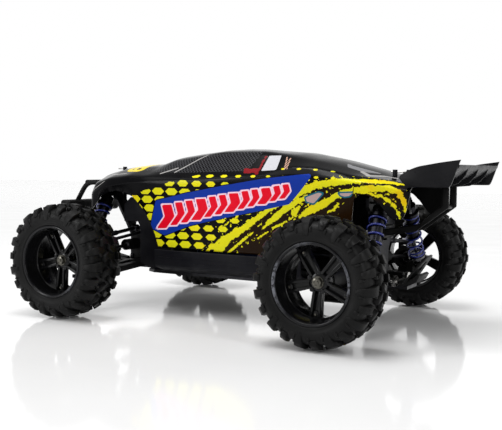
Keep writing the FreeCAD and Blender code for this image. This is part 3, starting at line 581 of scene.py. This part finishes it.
# ---- body shell ----
# heights and half widths along the car, as (x, value) in millimetres
ROOF_Z = [(247, 165), (243, 171), (236, 177), (225, 184), (212, 189.5), (185, 196), (155, 200), (135, 201),
          (119, 202.5), (96, 212), (64, 217), (20, 222), (-5, 223.4), (-26, 223.2), (-57, 221), (-93, 219),
          (-143, 210), (-185, 200), (-211, 193.5), (-249, 187)]
EDGE_Y = [(247, 6), (236, 22), (225, 36), (212, 48), (150, 50), (20, 54), (-30, 57), (-97, 57), (-143, 54),
          (-185, 50), (-249, 44)]
EDGE_Z = [(247, 164), (236, 174), (225, 180), (212, 184), (185, 191), (150, 196), (119, 198), (96, 206),
          (64, 211), (20, 218), (-45, 220), (-78, 216), (-99, 212.5), (-127, 208), (-154, 202), (-180, 195.5),
          (-203, 190), (-249, 184)]
SHOULDER_Y = [(247, 9), (236, 35), (225, 57), (212, 78), (185, 83), (150, 86), (120, 87), (64, 85), (-30, 85),
              (-97, 84), (-143, 80), (-185, 76), (-215, 71), (-249, 66)]
SHOULDER_Z = [(247, 163), (236, 168), (225, 170), (212, 172), (185, 180), (150, 184), (129, 184), (64, 187),
              (10, 189), (-27, 191), (-58, 193), (-97, 200), (-124, 200), (-151, 196), (-177, 191),
              (-215, 187), (-249, 181)]
CREASE_Y = [(247, 10), (236, 37.5), (225, 62), (217, 80), (211, 86), (200, 88), (185, 89), (150, 91),
            (120, 92), (-30, 92), (-97, 91), (-143, 89), (-185, 86), (-215, 82), (-249, 77)]
CREASE_Z = [(247, 160), (236, 158), (225, 157), (212, 158), (188, 168), (150, 174), (112, 178), (48, 181),
            (-58, 187), (-111, 190), (-152, 187), (-203, 182), (-249, 174)]
SILL_Y = [(247, 8), (236, 36), (226, 61), (218, 80), (212, 85.5), (203, 86), (185, 85.5), (150, 88),
          (120, 90), (-97, 90), (-143, 88), (-185, 85), (-215, 82), (-249, 77)]
SILL_Z = [(247, 158), (236, 152), (228, 148.5), (217.5, 146), (213.5, 134.5), (209.5, 137), (201.5, 146.5),
          (194.5, 154.5), (181, 161), (167, 163), (153, 161.5), (138, 155.3), (124.3, 143.5), (114.3, 132),
          (108.5, 122.5), (101, 108), (97, 97), (94, 88.5), (-112, 88.5), (-122, 95), (-133, 109),
          (-146, 122), (-160, 131), (-172, 135.5), (-181, 137), (-182.5, 163), (-188, 168), (-195, 169.5),
          (-204, 166), (-214, 157), (-221, 148.5), (-226, 142.5), (-233, 139), (-240, 140.5), (-244, 147),
          (-246.5, 156), (-249, 170)]
SHELL_COLUMNS = 262
SHELL_ROWS = (42, 12, 20, 20)         # sill to crease, to shoulder, to roof edge, to the middle
ROOF = 3                              # the last of these parts, which is crowned
SHELL_THICKNESS = 1.2 * MM
SHELL_ROUNDING = 9
SHELL_FRONT, SHELL_BACK = 246.5, -249.0


def along(table, x, soft=7.0):
    """Reads a table at x, with its corners eased over soft millimetres each way."""
    xs = np.array([p[0] for p in reversed(table)], float)
    vs = np.array([p[1] for p in reversed(table)], float)
    if not soft:
        return np.interp(x, xs, vs)
    offsets = np.linspace(-1, 1, 9) * soft
    weights = 1 - np.abs(np.linspace(-1, 1, 9)) * 0.9
    values = sum(w * np.interp(x + o, xs, vs) for w, o in zip(weights, offsets))
    return values / weights.sum()


def shell_grid():
    """Left half sections from sill to roof centre, as arrays of (column, row)."""
    x = np.linspace(SHELL_FRONT, SHELL_BACK, SHELL_COLUMNS)
    keys_y = [along(table, x) for table in (SILL_Y, CREASE_Y, SHOULDER_Y, EDGE_Y)] + [np.zeros_like(x)]
    keys_z = [along(SILL_Z, x, 0)] + [along(table, x) for table in (CREASE_Z, SHOULDER_Z, EDGE_Z, ROOF_Z)]
    ys, zs = [], []
    for k, count in enumerate(SHELL_ROWS):
        for t in np.arange(count) / count:
            crown = 1.0 - (1 - t) ** 2 if k == ROOF else t
            ys.append(keys_y[k] * (1 - t) + keys_y[k + 1] * t)
            zs.append(keys_z[k] * (1 - crown) + keys_z[k + 1] * crown)
    ys.append(keys_y[-1])
    zs.append(keys_z[-1])
    y, z = np.array(ys).T, np.array(zs).T
    for _ in range(SHELL_ROUNDING):
        y_next, z_next = y.copy(), z.copy()
        y_next[:, 1:-1] = (y[:, :-2] + 2 * y[:, 1:-1] + y[:, 2:]) / 4
        z_next[:, 1:-1] = (z[:, :-2] + 2 * z[:, 1:-1] + z[:, 2:]) / 4
        z_next[:, -1] = (z[:, -1] + z[:, -2]) / 2
        y, z = y_next, z_next
    return np.repeat(x[:, None], y.shape[1], 1), y, z


def both_sides(left, right):
    """Joins the left half's rows to the right half's, sharing the row on the roof's middle line."""
    return np.concatenate([left, right[:, -2::-1]], axis=1)


def height_along_skin(y, z):
    """Plain height up to the crease, and above it the distance walked over the skin."""
    crease = SHELL_ROWS[0]
    step = np.hypot(np.diff(y, axis=1), np.diff(z, axis=1))
    arc = np.concatenate([np.zeros((len(y), 1)), np.cumsum(step, axis=1)], axis=1)
    walked = z[:, crease:crease + 1] + arc - arc[:, crease:crease + 1]
    return np.where(np.arange(y.shape[1]) <= crease, z, walked)


def shell_surface(x, y, z):
    """The grid as one mesh with a closed nose and a closed tail."""
    columns, rows = x.shape
    verts = np.stack([x * MM + MID_X, y * MM, z * MM], axis=-1).reshape(-1, 3)
    index = np.arange(columns * rows).reshape(columns, rows)
    quads = np.stack([index[:-1, :-1], index[:-1, 1:], index[1:, 1:], index[1:, :-1]], axis=-1).reshape(-1, 4)
    ends = [tuple(index[0, :]), tuple(index[-1, ::-1])]
    return mesh_object("painted_shell", verts, [tuple(f) for f in quads] + ends)


def open_tail(obj):
    """Takes away the face that closes the tail."""
    with editing(obj.data) as bm:
        bmesh.ops.recalc_face_normals(bm, faces=bm.faces)
        tail = [f for f in bm.faces if len(f.verts) > 4 and f.calc_center_median().x < MID_X]
        bmesh.ops.delete(bm, geom=tail, context="FACES_ONLY")


def thicken(obj):
    """Gives the skin its thickness, with a dark inside and a pale cut edge."""
    solid = obj.modifiers.new("skin", "SOLIDIFY")
    solid.thickness = SHELL_THICKNESS
    solid.offset = -1
    solid.use_even_offset = False
    solid.material_offset = 1
    solid.material_offset_rim = 2
    obj.data.materials.append(livery())
    obj.data.materials.append(moulded_plastic("shell_inside", (0.006, 0.006, 0.006), (0.3, 0.4)))
    obj.data.materials.append(moulded_plastic("cut_edge", (0.42, 0.42, 0.40), (0.3, 0.4)))
    apply_modifiers(obj)


def body_shell():
    """The painted skin, with one field per print or painted reflection and the livery material."""
    x, y, z = shell_grid()
    q = height_along_skin(y, z)
    on_roof = np.broadcast_to(np.arange(y.shape[1]) > sum(SHELL_ROWS[:3]) + 3, y.shape)
    x, y, z, q = both_sides(x, x), both_sides(y, -y), both_sides(z, z), both_sides(q, q)
    obj = shell_surface(x, y, z)
    for name, values in livery_fields(x, y, z, q, both_sides(on_roof, on_roof)).items():
        layer = obj.data.attributes.new(name, "FLOAT", "POINT")
        layer.data.foreach_set("value", values.astype(np.float32).ravel())
    open_tail(obj)
    thicken(obj)
    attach(obj, "chassis")
    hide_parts("body_shell")


# ---- tyres ----
# drawn about the left wheel's centre in millimetres, with +Y outwards
SIDE = {c: 1 if c.endswith("left") else -1 for c in CORNERS}
LUGS = 22
CARCASS = [(-27.2, 44.7), (-28.6, 46.6), (-29.6, 48.0), (-29.4, 49.4), (-30.4, 51.5), (-31.1, 56),
           (-30.6, 60.5), (-28, 64.4), (-22, 67.2), (-12, 68.4), (0, 68.8), (12, 68.4), (22, 67.2),
           (28, 64.4), (30.6, 60.5), (31.1, 56), (30.4, 51.5), (29.4, 49.4), (29.6, 48.0), (28.6, 46.6),
           (27.2, 44.7), (22, 46), (24, 52), (22, 60), (0, 62), (-22, 60), (-24, 52), (-22, 46)]
# lug outlines across the tyre: (y, radius, half width in degrees)
LONG_LUG = [(13, 66, 5.4), (14.2, 73.4, 4.3), (21, 72.9, 4.3), (27.6, 70.2, 4.3), (31.3, 65.2, 4.1),
            (31.9, 58.5, 3.5), (31.5, 53.2, 2.6), (28, 54, 3.6), (24, 63, 5.0)]
SHORT_LUG = [(17.5, 66, 4.8), (18.5, 72.9, 3.7), (25.5, 71.3, 3.7), (31, 66.2, 3.5), (31.8, 60.8, 2.9),
             (28, 60, 4.0), (23, 64, 4.6)]
CENTRE_LUG = [(0.6, 67, 3.9), (1.3, 73.9, 3.1), (10.6, 73.7, 3.1), (11.4, 67, 3.9)]
SMALL_LUG = [(12.8, 66.5, 2.2), (13.4, 72.4, 1.6), (16.6, 72.2, 1.6), (17.2, 66, 2.2)]
SIDE_KNOB = [(29, 56.6, 1.7), (31.9, 57.2, 1.3), (31.7, 62.6, 1.3), (28, 63.4, 1.7)]


def at_wheel(name, maker, corner):
    """Draws a piece about the left wheel's centre and moves it to its corner, mirrored on the right."""
    obj = maker(name + "_" + corner)
    if SIDE[corner] < 0:
        obj.data.transform(Matrix.Scale(-1, 4, (0, 1, 0)))
        obj.data.flip_normals()
    obj.data.transform(Matrix.Translation(WHEEL_AT[corner]))
    return obj


def add_lug(verts, faces, outline, middle, flip, lean=0.0):
    """Adds one block about the angle middle; lean twists it along the tyre's width."""
    first = len(verts)
    for end in (-1, 1):
        for y, radius, half in outline:
            a = math.radians(middle + end * half + lean * y)
            verts.append((radius * math.cos(a) * MM, flip * y * MM, radius * math.sin(a) * MM))
    n = len(outline)
    faces.append(tuple(first + i for i in range(n)))
    faces.append(tuple(first + n + i for i in reversed(range(n))))
    for i in range(n):
        j = (i + 1) % n
        faces.append((first + i, first + n + i, first + n + j, first + j))


def tyre_lugs(name):
    """Four kinds of block on each half of the tread, with the halves half a pitch apart."""
    verts, faces = [], []
    pitch = 360 / LUGS
    for k in range(LUGS):
        for flip, shift in ((1, 0.0), (-1, 0.5)):
            at = (k + shift) * pitch
            add_lug(verts, faces, LONG_LUG if k % 2 else SHORT_LUG, at, flip, 0.10)
            add_lug(verts, faces, CENTRE_LUG, at + pitch * 0.42, flip, 0.42)
            add_lug(verts, faces, SMALL_LUG, at + pitch * 0.53, flip, -0.1)
            add_lug(verts, faces, SIDE_KNOB, at + pitch * 0.5, flip)
    return bevelled(clean(mesh_object(name, verts, faces, smooth=False)), 0.55, 1)


def tyre(name):
    return shade_by_angle(joined(name, [ring_of("carcass", CARCASS), tyre_lugs("lugs")]), 42)


# ---- wheels ----
BARREL = [(-29.4, 42.7), (-29.4, 46.0), (-28.6, 46.4), (-27.6, 46.2), (-26.4, 44.3), (26.2, 44.3),
          (27.0, 45.2), (28.4, 43.6), (27.4, 42.5), (14, 41.6), (12.5, 40.6), (9.5, 40.2), (8.5, 39.2),
          (-1.5, 38.9), (-3.0, 41.0), (-14, 41.6), (-16, 42.2)]
LIP = [(26.6, 44.4), (27.4, 46.1), (28.6, 46.45), (29.4, 46.0), (29.45, 44.4), (28.9, 43.2), (27.6, 42.6),
       (26.8, 43.4)]
HUB = [(-8.5, 4.1), (-8.5, 12.6), (-7.5, 13.0), (1.5, 13.0), (4.5, 12.0), (6.4, 9.4), (6.4, 4.1)]
SPOKE_TURN = -5.0
SPOKES = 5


def spoke_piece(outline, low, high, turn):
    """A piece drawn pointing straight down from the hub, turned about the axle."""
    obj = prism("spoke_part", [(x * MM, z * MM) for x, z in outline], low * MM, high * MM)
    obj.data.transform(Matrix.Rotation(math.radians(turn), 4, "Y"))
    return obj


def rib(offset_in, offset_out, width):
    return [(offset_in - width / 2, -9.5), (offset_in + width / 2, -9.5), (offset_out + width / 2, -41.5),
            (offset_out - width / 2, -41.5)]


def stud(radius, x, z, low, high, turn, sides=16):
    angles = [2 * math.pi * k / sides for k in range(sides)]
    ring = [(x + radius * math.cos(a), z + radius * math.sin(a)) for a in angles]
    return spoke_piece(ring, low, high, turn)


def wheel_centre(name):
    """The hub and its spokes, with two ribs and a seat on each and a stud between two of them."""
    parts = [ring_of("hub", HUB, 48)]
    for k in range(SPOKES):
        turn = SPOKE_TURN + 360 / SPOKES * k
        parts.append(spoke_piece([(-5.6, -8), (5.6, -8), (7.6, -42), (-7.6, -42)], -1.4, 2.0, turn))
        for side in (-1, 1):
            parts.append(bevelled(spoke_piece(rib(side * 3.7, side * 5.2, 3.6), 1.0, 7.2, turn), 0.9, 2))
        parts.append(bevelled(stud(4.4, 0, -36.5, 0, 4.6, turn, 24), 0.6, 2))
        parts.append(bevelled(stud(2.6, 0, -11.2, 2, 7.4, turn + 36), 0.5, 2))
    return shade_by_angle(joined(name, parts), 40)


def rim(name):
    return joined(name, [shade_by_angle(ring_of("barrel", BARREL), 38), wheel_centre("centre")])


def nut(name):
    """The wheel nut with its flange, the end of the axle and a small bolt on each spoke."""
    body = bevelled(stud(5.88, 0, 0, 7.4, 11.4, 10, 6), 0.6, 2)
    flange = ring_of("flange", [(6.3, 4), (6.3, 7.2), (7.0, 7.4), (7.7, 6.8), (7.7, 4)], 48)
    stub = ring_of("stub", [(5, 0.01), (5, 3.0), (12.4, 3.0), (12.9, 2.3), (12.9, 0.01)], 32)
    turns = [SPOKE_TURN + 360 / SPOKES * k for k in range(SPOKES)]
    bolts = [bevelled(stud(1.7, 0, -36.5, 4.4, 5.6, turn, 6), 0.3, 1) for turn in turns]
    return shade_by_angle(joined(name, [body, flange, stub] + bolts), 35)


def axle(name):
    profile = [(-38, 6.8), (-38, 8.3), (-23, 8.3), (-23, 5), (-8.4, 5), (-8.4, 3), (-25, 3), (-25, 6.8)]
    return shade_by_angle(ring_of(name, profile, 40), 35)


def wheels():
    rubber, gloss, worn = tyre_rubber(), gloss_wheel(), worn_lip()
    bright = metal("wheel_nut_steel", (0.11, 0.105, 0.09), (0.2, 0.36))
    dull = metal("axle_steel", (0.30, 0.30, 0.31), (0.3, 0.5))
    for corner in CORNERS:
        body = "wheel_" + corner
        give(at_wheel("tread", tyre, corner), rubber, body, ["tyre_" + corner])
        give(at_wheel("rim", rim, corner), gloss, body, ["wheel_" + corner])
        give(at_wheel("rim_lip", lambda name: ring_of(name, LIP), corner), worn, body)
        give(at_wheel("wheel_nut", nut, corner), bright, body)
        give(at_wheel("axle_cup", axle, corner), dull, body)


# ---- springs ----
SPRING_TURNS = 7
CLOSED_TURNS = 0.85                   # turns that lie flat at each end
WIRE = 1.3 * MM                       # wire radius


def spring(corner):
    """A round-wire coil on the shock, with closed coils at both ends."""
    top, low, radius = spring_line(corner)
    down = (low - top).normalized()
    length = (low - top).length
    out = Vector((1, 0, 0))
    side = down.cross(out)
    points = []
    steps = 30 * SPRING_TURNS
    for k in range(steps + 1):
        t = k / steps
        turn = t * SPRING_TURNS
        rise = min(1.0, max(0.0, (turn - CLOSED_TURNS) / (SPRING_TURNS - 2 * CLOSED_TURNS)))
        along = WIRE + 0.05 * MM + (length - 2 * WIRE - 0.1 * MM) * (0.03 * t + 0.97 * rise)
        a = 2 * math.pi * turn
        points.append(top + down * along + out * (radius * math.cos(a)) + side * (radius * math.sin(a)))
    coil = tube_along("coil_spring_" + corner, points, WIRE, 10)
    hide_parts("shock_spring_" + corner)
    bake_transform(coil)
    return coil


def spring_line(corner):
    """Upper and lower end of the spring's axis and the coil radius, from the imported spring's own mesh."""
    verts = np.array([v.co for v in NODES["shock_spring_" + corner].data.vertices])
    middle = verts.mean(axis=0)
    across = np.linalg.svd(verts - middle, full_matrices=False)[2][0]
    axis = across if across[2] < 0 else -across
    reach = (verts - middle) @ axis
    start, end = middle + axis * reach.min(), middle + axis * reach.max()
    middle_line = (start + end) / 2
    away = verts - middle_line - np.outer((verts - middle_line) @ axis, axis)
    outer = np.sqrt((away ** 2).sum(axis=1)).max()
    return Vector(start), Vector(end), float(outer) - WIRE


# ---- wing, struts, bumpers and guards ----
def smooth_outline(points, steps):
    """Passes a closed curve through the points, with that many steps between two of them."""
    out = []
    n = len(points)
    for i in range(n):
        p0, p1, p2, p3 = (Vector(points[(i + k) % n]) for k in (-1, 0, 1, 2))
        for k in range(steps):
            t = k / steps
            out.append(0.5 * ((2 * p1) + (p2 - p0) * t + (2 * p0 - 5 * p1 + 4 * p2 - p3) * t * t
                              + (3 * p1 - p0 - 3 * p2 + p3) * t ** 3))
    return out


def rectangle(left, right, low, high):
    """A rectangle of (y, z) points, from millimetres to metres."""
    return [(left * MM, low * MM), (right * MM, low * MM), (right * MM, high * MM), (left * MM, high * MM)]


def shifted(outline):
    """An outline in millimetres from mid wheelbase, in the frame's metres."""
    return [(p[0] * MM + MID_X, p[1] * MM) for p in outline]


def moulding(outline, low, high, width, segments=2, angle=35, axis="Y"):
    """A bevelled prism with its ends in millimetres, which count from MID_X along X."""
    start = MID_X if axis == "X" else 0.0
    body = prism("moulding", outline, start + low * MM, start + high * MM, axis)
    return bevelled(body, width, segments, angle)


WING_BLADE = [(-246, 178.6), (-262, 179.8), (-282, 183.8), (-300, 191.8), (-311, 203), (-309.5, 205.4),
              (-298, 194.6), (-280, 186.6), (-262, 182.4), (-246, 180.6)]
END_PLATE = [(-243.6, 190.6), (-250, 196.4), (-264, 202.6), (-278, 205.6), (-292, 208.2), (-311, 211),
             (-313, 211.2), (-312.4, 209.4), (-309, 200), (-306, 191), (-303.4, 184), (-301.4, 181),
             (-298, 180.2), (-276, 179.9), (-256, 179.8), (-252.6, 180.6), (-247.4, 184.4)]
PLATE_FOLD = [(-252, 184), (-296, 186), (-303, 200), (-290, 203), (-256, 198)]
WING_FIN = [(-310.6, 203.4), (-307, 193.6), (-299, 184.6), (-287, 179.6), (-270, 177.9), (-263, 179.9),
            (-282, 184.6), (-299, 192.6)]
FIN_PLACES = (-53, -1, 51)
STRUT_Y = 18
STRUT_ROD = (-273.5, 154)             # rod between the struts, as (x, z)
STRUT = [(-198.2, 123.8), (-243, 132.2), (-270.6, 156.6), (-270.6, 180.6), (-279.3, 182.2), (-279.7, 153.8),
         (-239.6, 123), (-198.2, 115.2)]


def rear_wing(plastic):
    blade = prism("blade", shifted(smooth_outline(WING_BLADE, 3)), -0.1, 0.1)
    parts = [shade_by_angle(blade, 30)]
    for side in (-1, 1):
        low, high = sorted((side * 100.0, side * 102.8))
        parts.append(moulding(shifted(smooth_outline(END_PLATE, 4)), low, high, 0.7, 2, 50))
        low, high = sorted((side * 99.2, side * 100.2))
        parts.append(moulding(shifted(PLATE_FOLD), low, high, 0.4, 1, 50))
    parts += [moulding(shifted(WING_FIN), y + 0.1, y + 1.9, 0.4, 1) for y in FIN_PLACES]
    give(joined("rear_wing_moulding", parts), plastic, "chassis", ["rear_wing"])


def wing_struts(plastic):
    parts = [moulding(shifted(STRUT), y - 2, y + 2, 1.4, 3, 50) for y in (-STRUT_Y, STRUT_Y)]
    cross = [(MID_X + STRUT_ROD[0] * MM, y * MM, STRUT_ROD[1] * MM) for y in (-STRUT_Y, STRUT_Y)]
    parts.append(tube_along("cross", cross, 2.9 * MM, 24))
    parts.append(moulding(rectangle(-22, 22, 112.2, 127.8), -199.8, -193.2, 1, axis="X"))
    give(joined("wing_strut_pair", parts), plastic, "chassis", ["wing_mount"])


HOOP_RADIUS = 3.6 * MM
HOOP = [(280, 34, 143), (264, 31, 172), (236, 30, 172), (212, 32, 160), (193.4, 35, 147)]
SKID = [(220, 54.3), (238, 57), (252, 64), (262, 72), (271, 86), (276, 98), (279, 112), (280, 128),
        (274, 128), (273, 114), (269, 100), (264, 88), (256, 77), (247, 69), (236, 63), (220, 60)]
SKID_RIB = [(236, 64), (256, 78), (268.6, 101), (273.4, 127), (264, 118), (250, 92), (232, 70)]
REAR_SKID = [(-220, 54.3), (-234, 55.3), (-242.6, 60.4), (-246.6, 67.6), (-243, 69.6), (-237, 63.8),
             (-220, 59.8)]
REAR_PLATE = [[(-25, 0), (25, 0), (24.6, 8), (20.5, 19), (-20.5, 19), (-24.6, 8)],
              [(-20.5, 18.9), (-4, 18.9), (-4, 34.1), (-15.4, 34.1)],
              [(4, 18.9), (20.5, 18.9), (15.4, 34.1), (4, 34.1)],
              [(-15.4, 34), (15.4, 34), (13, 42.6), (-13, 42.6)]]
REAR_FOOT = (-227.0, 57.4)            # lower edge of the upswept plate
PLATE_RISE = 54.0                     # its slope in degrees, leaning backwards


def hoop_tubes():
    """Two bent legs and the bar that joins their upper front bends."""
    left, right = ([(x * MM + MID_X, side * y * MM, z * MM) for x, y, z in HOOP] for side in (1, -1))
    legs = [tube_along("hoop_leg", rounded_path(path, 12 * MM), HOOP_RADIUS, 16) for path in (right, left)]
    return legs + [tube_along("hoop_top", [right[1], left[1]], HOOP_RADIUS, 16)]


def upswept_plate():
    """The tapering plate under the tail, drawn flat with its slot and then leaned back."""
    pieces = [prism("plate_part", [(y * MM, r * MM) for y, r in outline], -1.3 * MM, 1.3 * MM, "X")
              for outline in REAR_PLATE]
    plate = joined("plate", pieces)
    plate.data.transform(Matrix.Rotation(math.radians(PLATE_RISE - 90), 4, "Y"))
    plate.data.transform(Matrix.Translation((REAR_FOOT[0] * MM + MID_X, 0, REAR_FOOT[1] * MM)))
    return plate


def bumpers(plastic):
    parts = [moulding(rectangle(-60, 60, 128.5, 145.5), 272.5, 291.5, 4, 4, axis="X")] + hoop_tubes()
    parts.append(moulding(shifted(SKID), -18, 18, 1, 2, 50))
    for y in (-12, -4, 4, 12):
        parts.append(prism("skid_rib", shifted(SKID_RIB), (y - 0.9) * MM, (y + 0.9) * MM))
    parts.append(moulding(shifted(REAR_SKID), -21.8, 21.8, 0.8, 2, 50))
    parts.append(bevelled(upswept_plate(), 0.4, 2, 50))
    give(joined("bumper_mouldings", parts), plastic, "chassis", ["bumpers"])


GUARD = [(50, 54.2), (64, 54.2), (80, 58.6), (90.5, 62.4), (93, 65.4), (94.3, 84.5), (94.1, 86.2), (92, 86.3),
         (91.4, 84.6), (89.6, 67), (88, 65.6), (63, 57), (50, 57)]
GUARD_ENDS = (-118, 98)               # along the car
GUARD_LINES = [(92.7, 94.25, 76.2, 77.3, -112, 92), (92.3, 93.85, 69.6, 70.4, -30, 36)]   # y, z and x ranges
# the wall that closes each front arch, drawn tall and dark so that it also acts as painted shade where the
# arch's inside lies in shadow
ARCH_PANEL = [(94.2, 54.3), (119, 54.3), (145.7, 62.3), (145.7, 112.2), (150, 119.4), (173.6, 119.4),
              (173.6, 143.8), (162.8, 153.6), (110, 153.6), (94.2, 137.8)]


def side_guards(plastic):
    """Sloping guards along the chassis, each with the wall that closes the front wheel arch and also serves
    as painted shade inside it.
    """
    parts = []
    for side in (1, -1):
        profile = [(side * y * MM, z * MM) for y, z in GUARD]
        parts.append(moulding(profile, *GUARD_ENDS, 0.8, 2, 30, "X"))
        parts.append(moulding(shifted(ARCH_PANEL), *sorted((side * 58.1, side * 59.9)), 0.5, 2, 20))
        for y0, y1, low, high, x0, x1 in GUARD_LINES:
            outline = rectangle(side * y0, side * y1, low, high)
            parts.append(moulding(outline, x0, x1, 0.25, 1, axis="X"))
    give(joined("side_guard_mouldings", parts), plastic, "chassis", ["side_guards"])


# ---- CAD parts that keep their shape ----
def family(node):
    """A node's name without its corner or side."""
    return "_".join(word for word in node.split("_") if word not in ("front", "rear", "left", "right"))


def paint_cad():
    """Materials by family, for every CAD part that stays in view."""
    looks = {
        "drive_housings steering_bellcrank lower_arm":
            moulded_plastic("glass_filled_nylon", (0.004, 0.004, 0.004), (0.38, 0.55)),
        "hub_carrier hub": moulded_plastic("hub_nylon", (0.005, 0.005, 0.005), (0.34, 0.5)),
        "electronics steering_servo": moulded_plastic("electronics_case", (0.004, 0.004, 0.004), (0.35, 0.5)),
        "battery_pack": moulded_plastic("battery_wrap", (0.010, 0.020, 0.07), (0.25, 0.4), 300, 0.1),
        "motor": metal("motor_can", (0.05, 0.05, 0.055), (0.25, 0.4), (1, 8, 8)),
        "chassis_plate": metal("anodised_plate", (0.03, 0.03, 0.033), (0.3, 0.45), (8, 1, 1)),
        "shock_towers": metal("tower_plate", (0.02, 0.02, 0.022), (0.3, 0.5), (1, 1, 8)),
        "center_link servo_horn": metal("machined_aluminium", (0.5, 0.5, 0.52), (0.25, 0.42), (1, 6, 1)),
        "shock_body": metal("shock_body", (0.022, 0.022, 0.026), (0.2, 0.36), (8, 8, 1)),
        "steering_knuckle": metal("cream_alloy", (0.46, 0.45, 0.30), (0.3, 0.45)),
        "shock_rod": metal("polished_rod", (0.16, 0.16, 0.17), (0.15, 0.3)),
        "center_drivetrain motor_pinion servo_link track_rod upper_link driveshaft":
            metal("machined_steel", (0.10, 0.10, 0.11), (0.28, 0.46), (1, 6, 1)),
        "fasteners": metal("bright_steel", (0.55, 0.54, 0.52), (0.2, 0.38)),
    }
    for families, material in looks.items():
        for node, obj in NODES.items():
            if family(node) in families.split():
                obj.data.materials.clear()
                obj.data.materials.append(material)
                shade_by_angle(obj, 30)


# ---- studio ----
FLOOR_DROP = 0.4 * MM                 # keeps the floor clear of the tyres


def studio():
    corners = [(-6, -6, 0), (6, -6, 0), (6, 6, 0), (-6, 6, 0)]
    floor = mesh_object("floor", corners, [(0, 1, 2, 3)], smooth=False)
    floor.location.z = -FLOOR_DROP
    floor.data.materials.append(studio_floor())
    world = bpy.data.worlds.new("studio")
    world.use_nodes = True
    tree = world.node_tree
    split = tree.nodes.new("ShaderNodeSeparateXYZ")
    fade = tree.nodes.new("ShaderNodeMapRange")
    for key, value in {"From Min": 0.2, "From Max": 0.5, "To Min": 1.0, "To Max": 0.4}.items():
        fade.inputs[key].default_value = value
    tree.links.new(tree.nodes.new("ShaderNodeTexCoord").outputs["Generated"], split.inputs[0])
    tree.links.new(split.outputs["Z"], fade.inputs["Value"])
    tree.nodes["Background"].inputs["Color"].default_value = (1, 1, 1, 1)
    tree.links.new(fade.outputs[0], tree.nodes["Background"].inputs["Strength"])
    bpy.context.scene.world = world
    bpy.context.scene.view_settings.view_transform = "Standard"


def add_light(name, kind, power, aim, **settings):
    data = bpy.data.lights.new(name, kind)
    data.energy = power
    for key, value in settings.items():
        setattr(data, key, value)
    light = placed(name, data)
    light.rotation_euler = Vector(aim).to_track_quat("-Z", "Y").to_euler()
    return light


# name, place, target, size and power
AREA_LIGHTS = [("overhead", (0.1, 0.1, 1.6), (0, 0, 0.1), (0.7, 0.5), 9),
               ("left_strip", (0.9, 1.3, 0.7), (0, 0, 0.1), (0.25, 0.9), 7),
               ("rear_strip", (-1.4, 0.6, 0.8), (-0.1, 0, 0.12), (0.25, 0.9), 6)]


def lights():
    add_light("ceiling", "SUN", 1.35, (-0.25, -0.35, -1), angle=math.radians(50))
    for name, place, target, (width, depth), power in AREA_LIGHTS:
        aim = Vector(target) - Vector(place)
        light = add_light(name, "AREA", power, aim, shape="RECTANGLE", size=width, size_y=depth)
        light.location = place


CAMERA_PLACE = (-0.53465, 1.03198, 0.20112)
CAMERA_LOOK = (0.46754, -0.88202, -0.05875)
CAMERA_ROLL = math.radians(0.971)
CAMERA_LENS = 60.41


def camera():
    forward = Vector(CAMERA_LOOK).normalized()
    level = forward.cross(Vector((0, 0, 1))).normalized()
    lift = level.cross(forward)
    right = level * math.cos(CAMERA_ROLL) + lift * math.sin(CAMERA_ROLL)
    up = lift * math.cos(CAMERA_ROLL) - level * math.sin(CAMERA_ROLL)
    data = bpy.data.cameras.new("camera")
    data.lens = CAMERA_LENS
    data.sensor_width = 36
    cam = placed("camera", data)
    matrix = Matrix((right, up, -forward)).transposed().to_4x4()
    matrix.translation = Vector(CAMERA_PLACE)
    cam.matrix_world = matrix
    bpy.context.scene.camera = cam


def build():
    paint_cad()
    wheels()
    wire = blue_spring()
    for corner in CORNERS:
        spring(corner).data.materials.append(wire)
    body_shell()
    rear_wing(moulded_plastic("wing_plastic", (0.004, 0.004, 0.005), (0.25, 0.4), 700, 0.15))
    wing_struts(moulded_plastic("strut_plastic", (0.003, 0.003, 0.003), (0.28, 0.45)))
    bumpers(moulded_plastic("bumper_plastic", (0.004, 0.004, 0.004), (0.35, 0.5)))
    side_guards(moulded_plastic("guard_plastic", (0.003, 0.003, 0.005), (0.42, 0.58)))
    studio()
    lights()
    camera()


build()
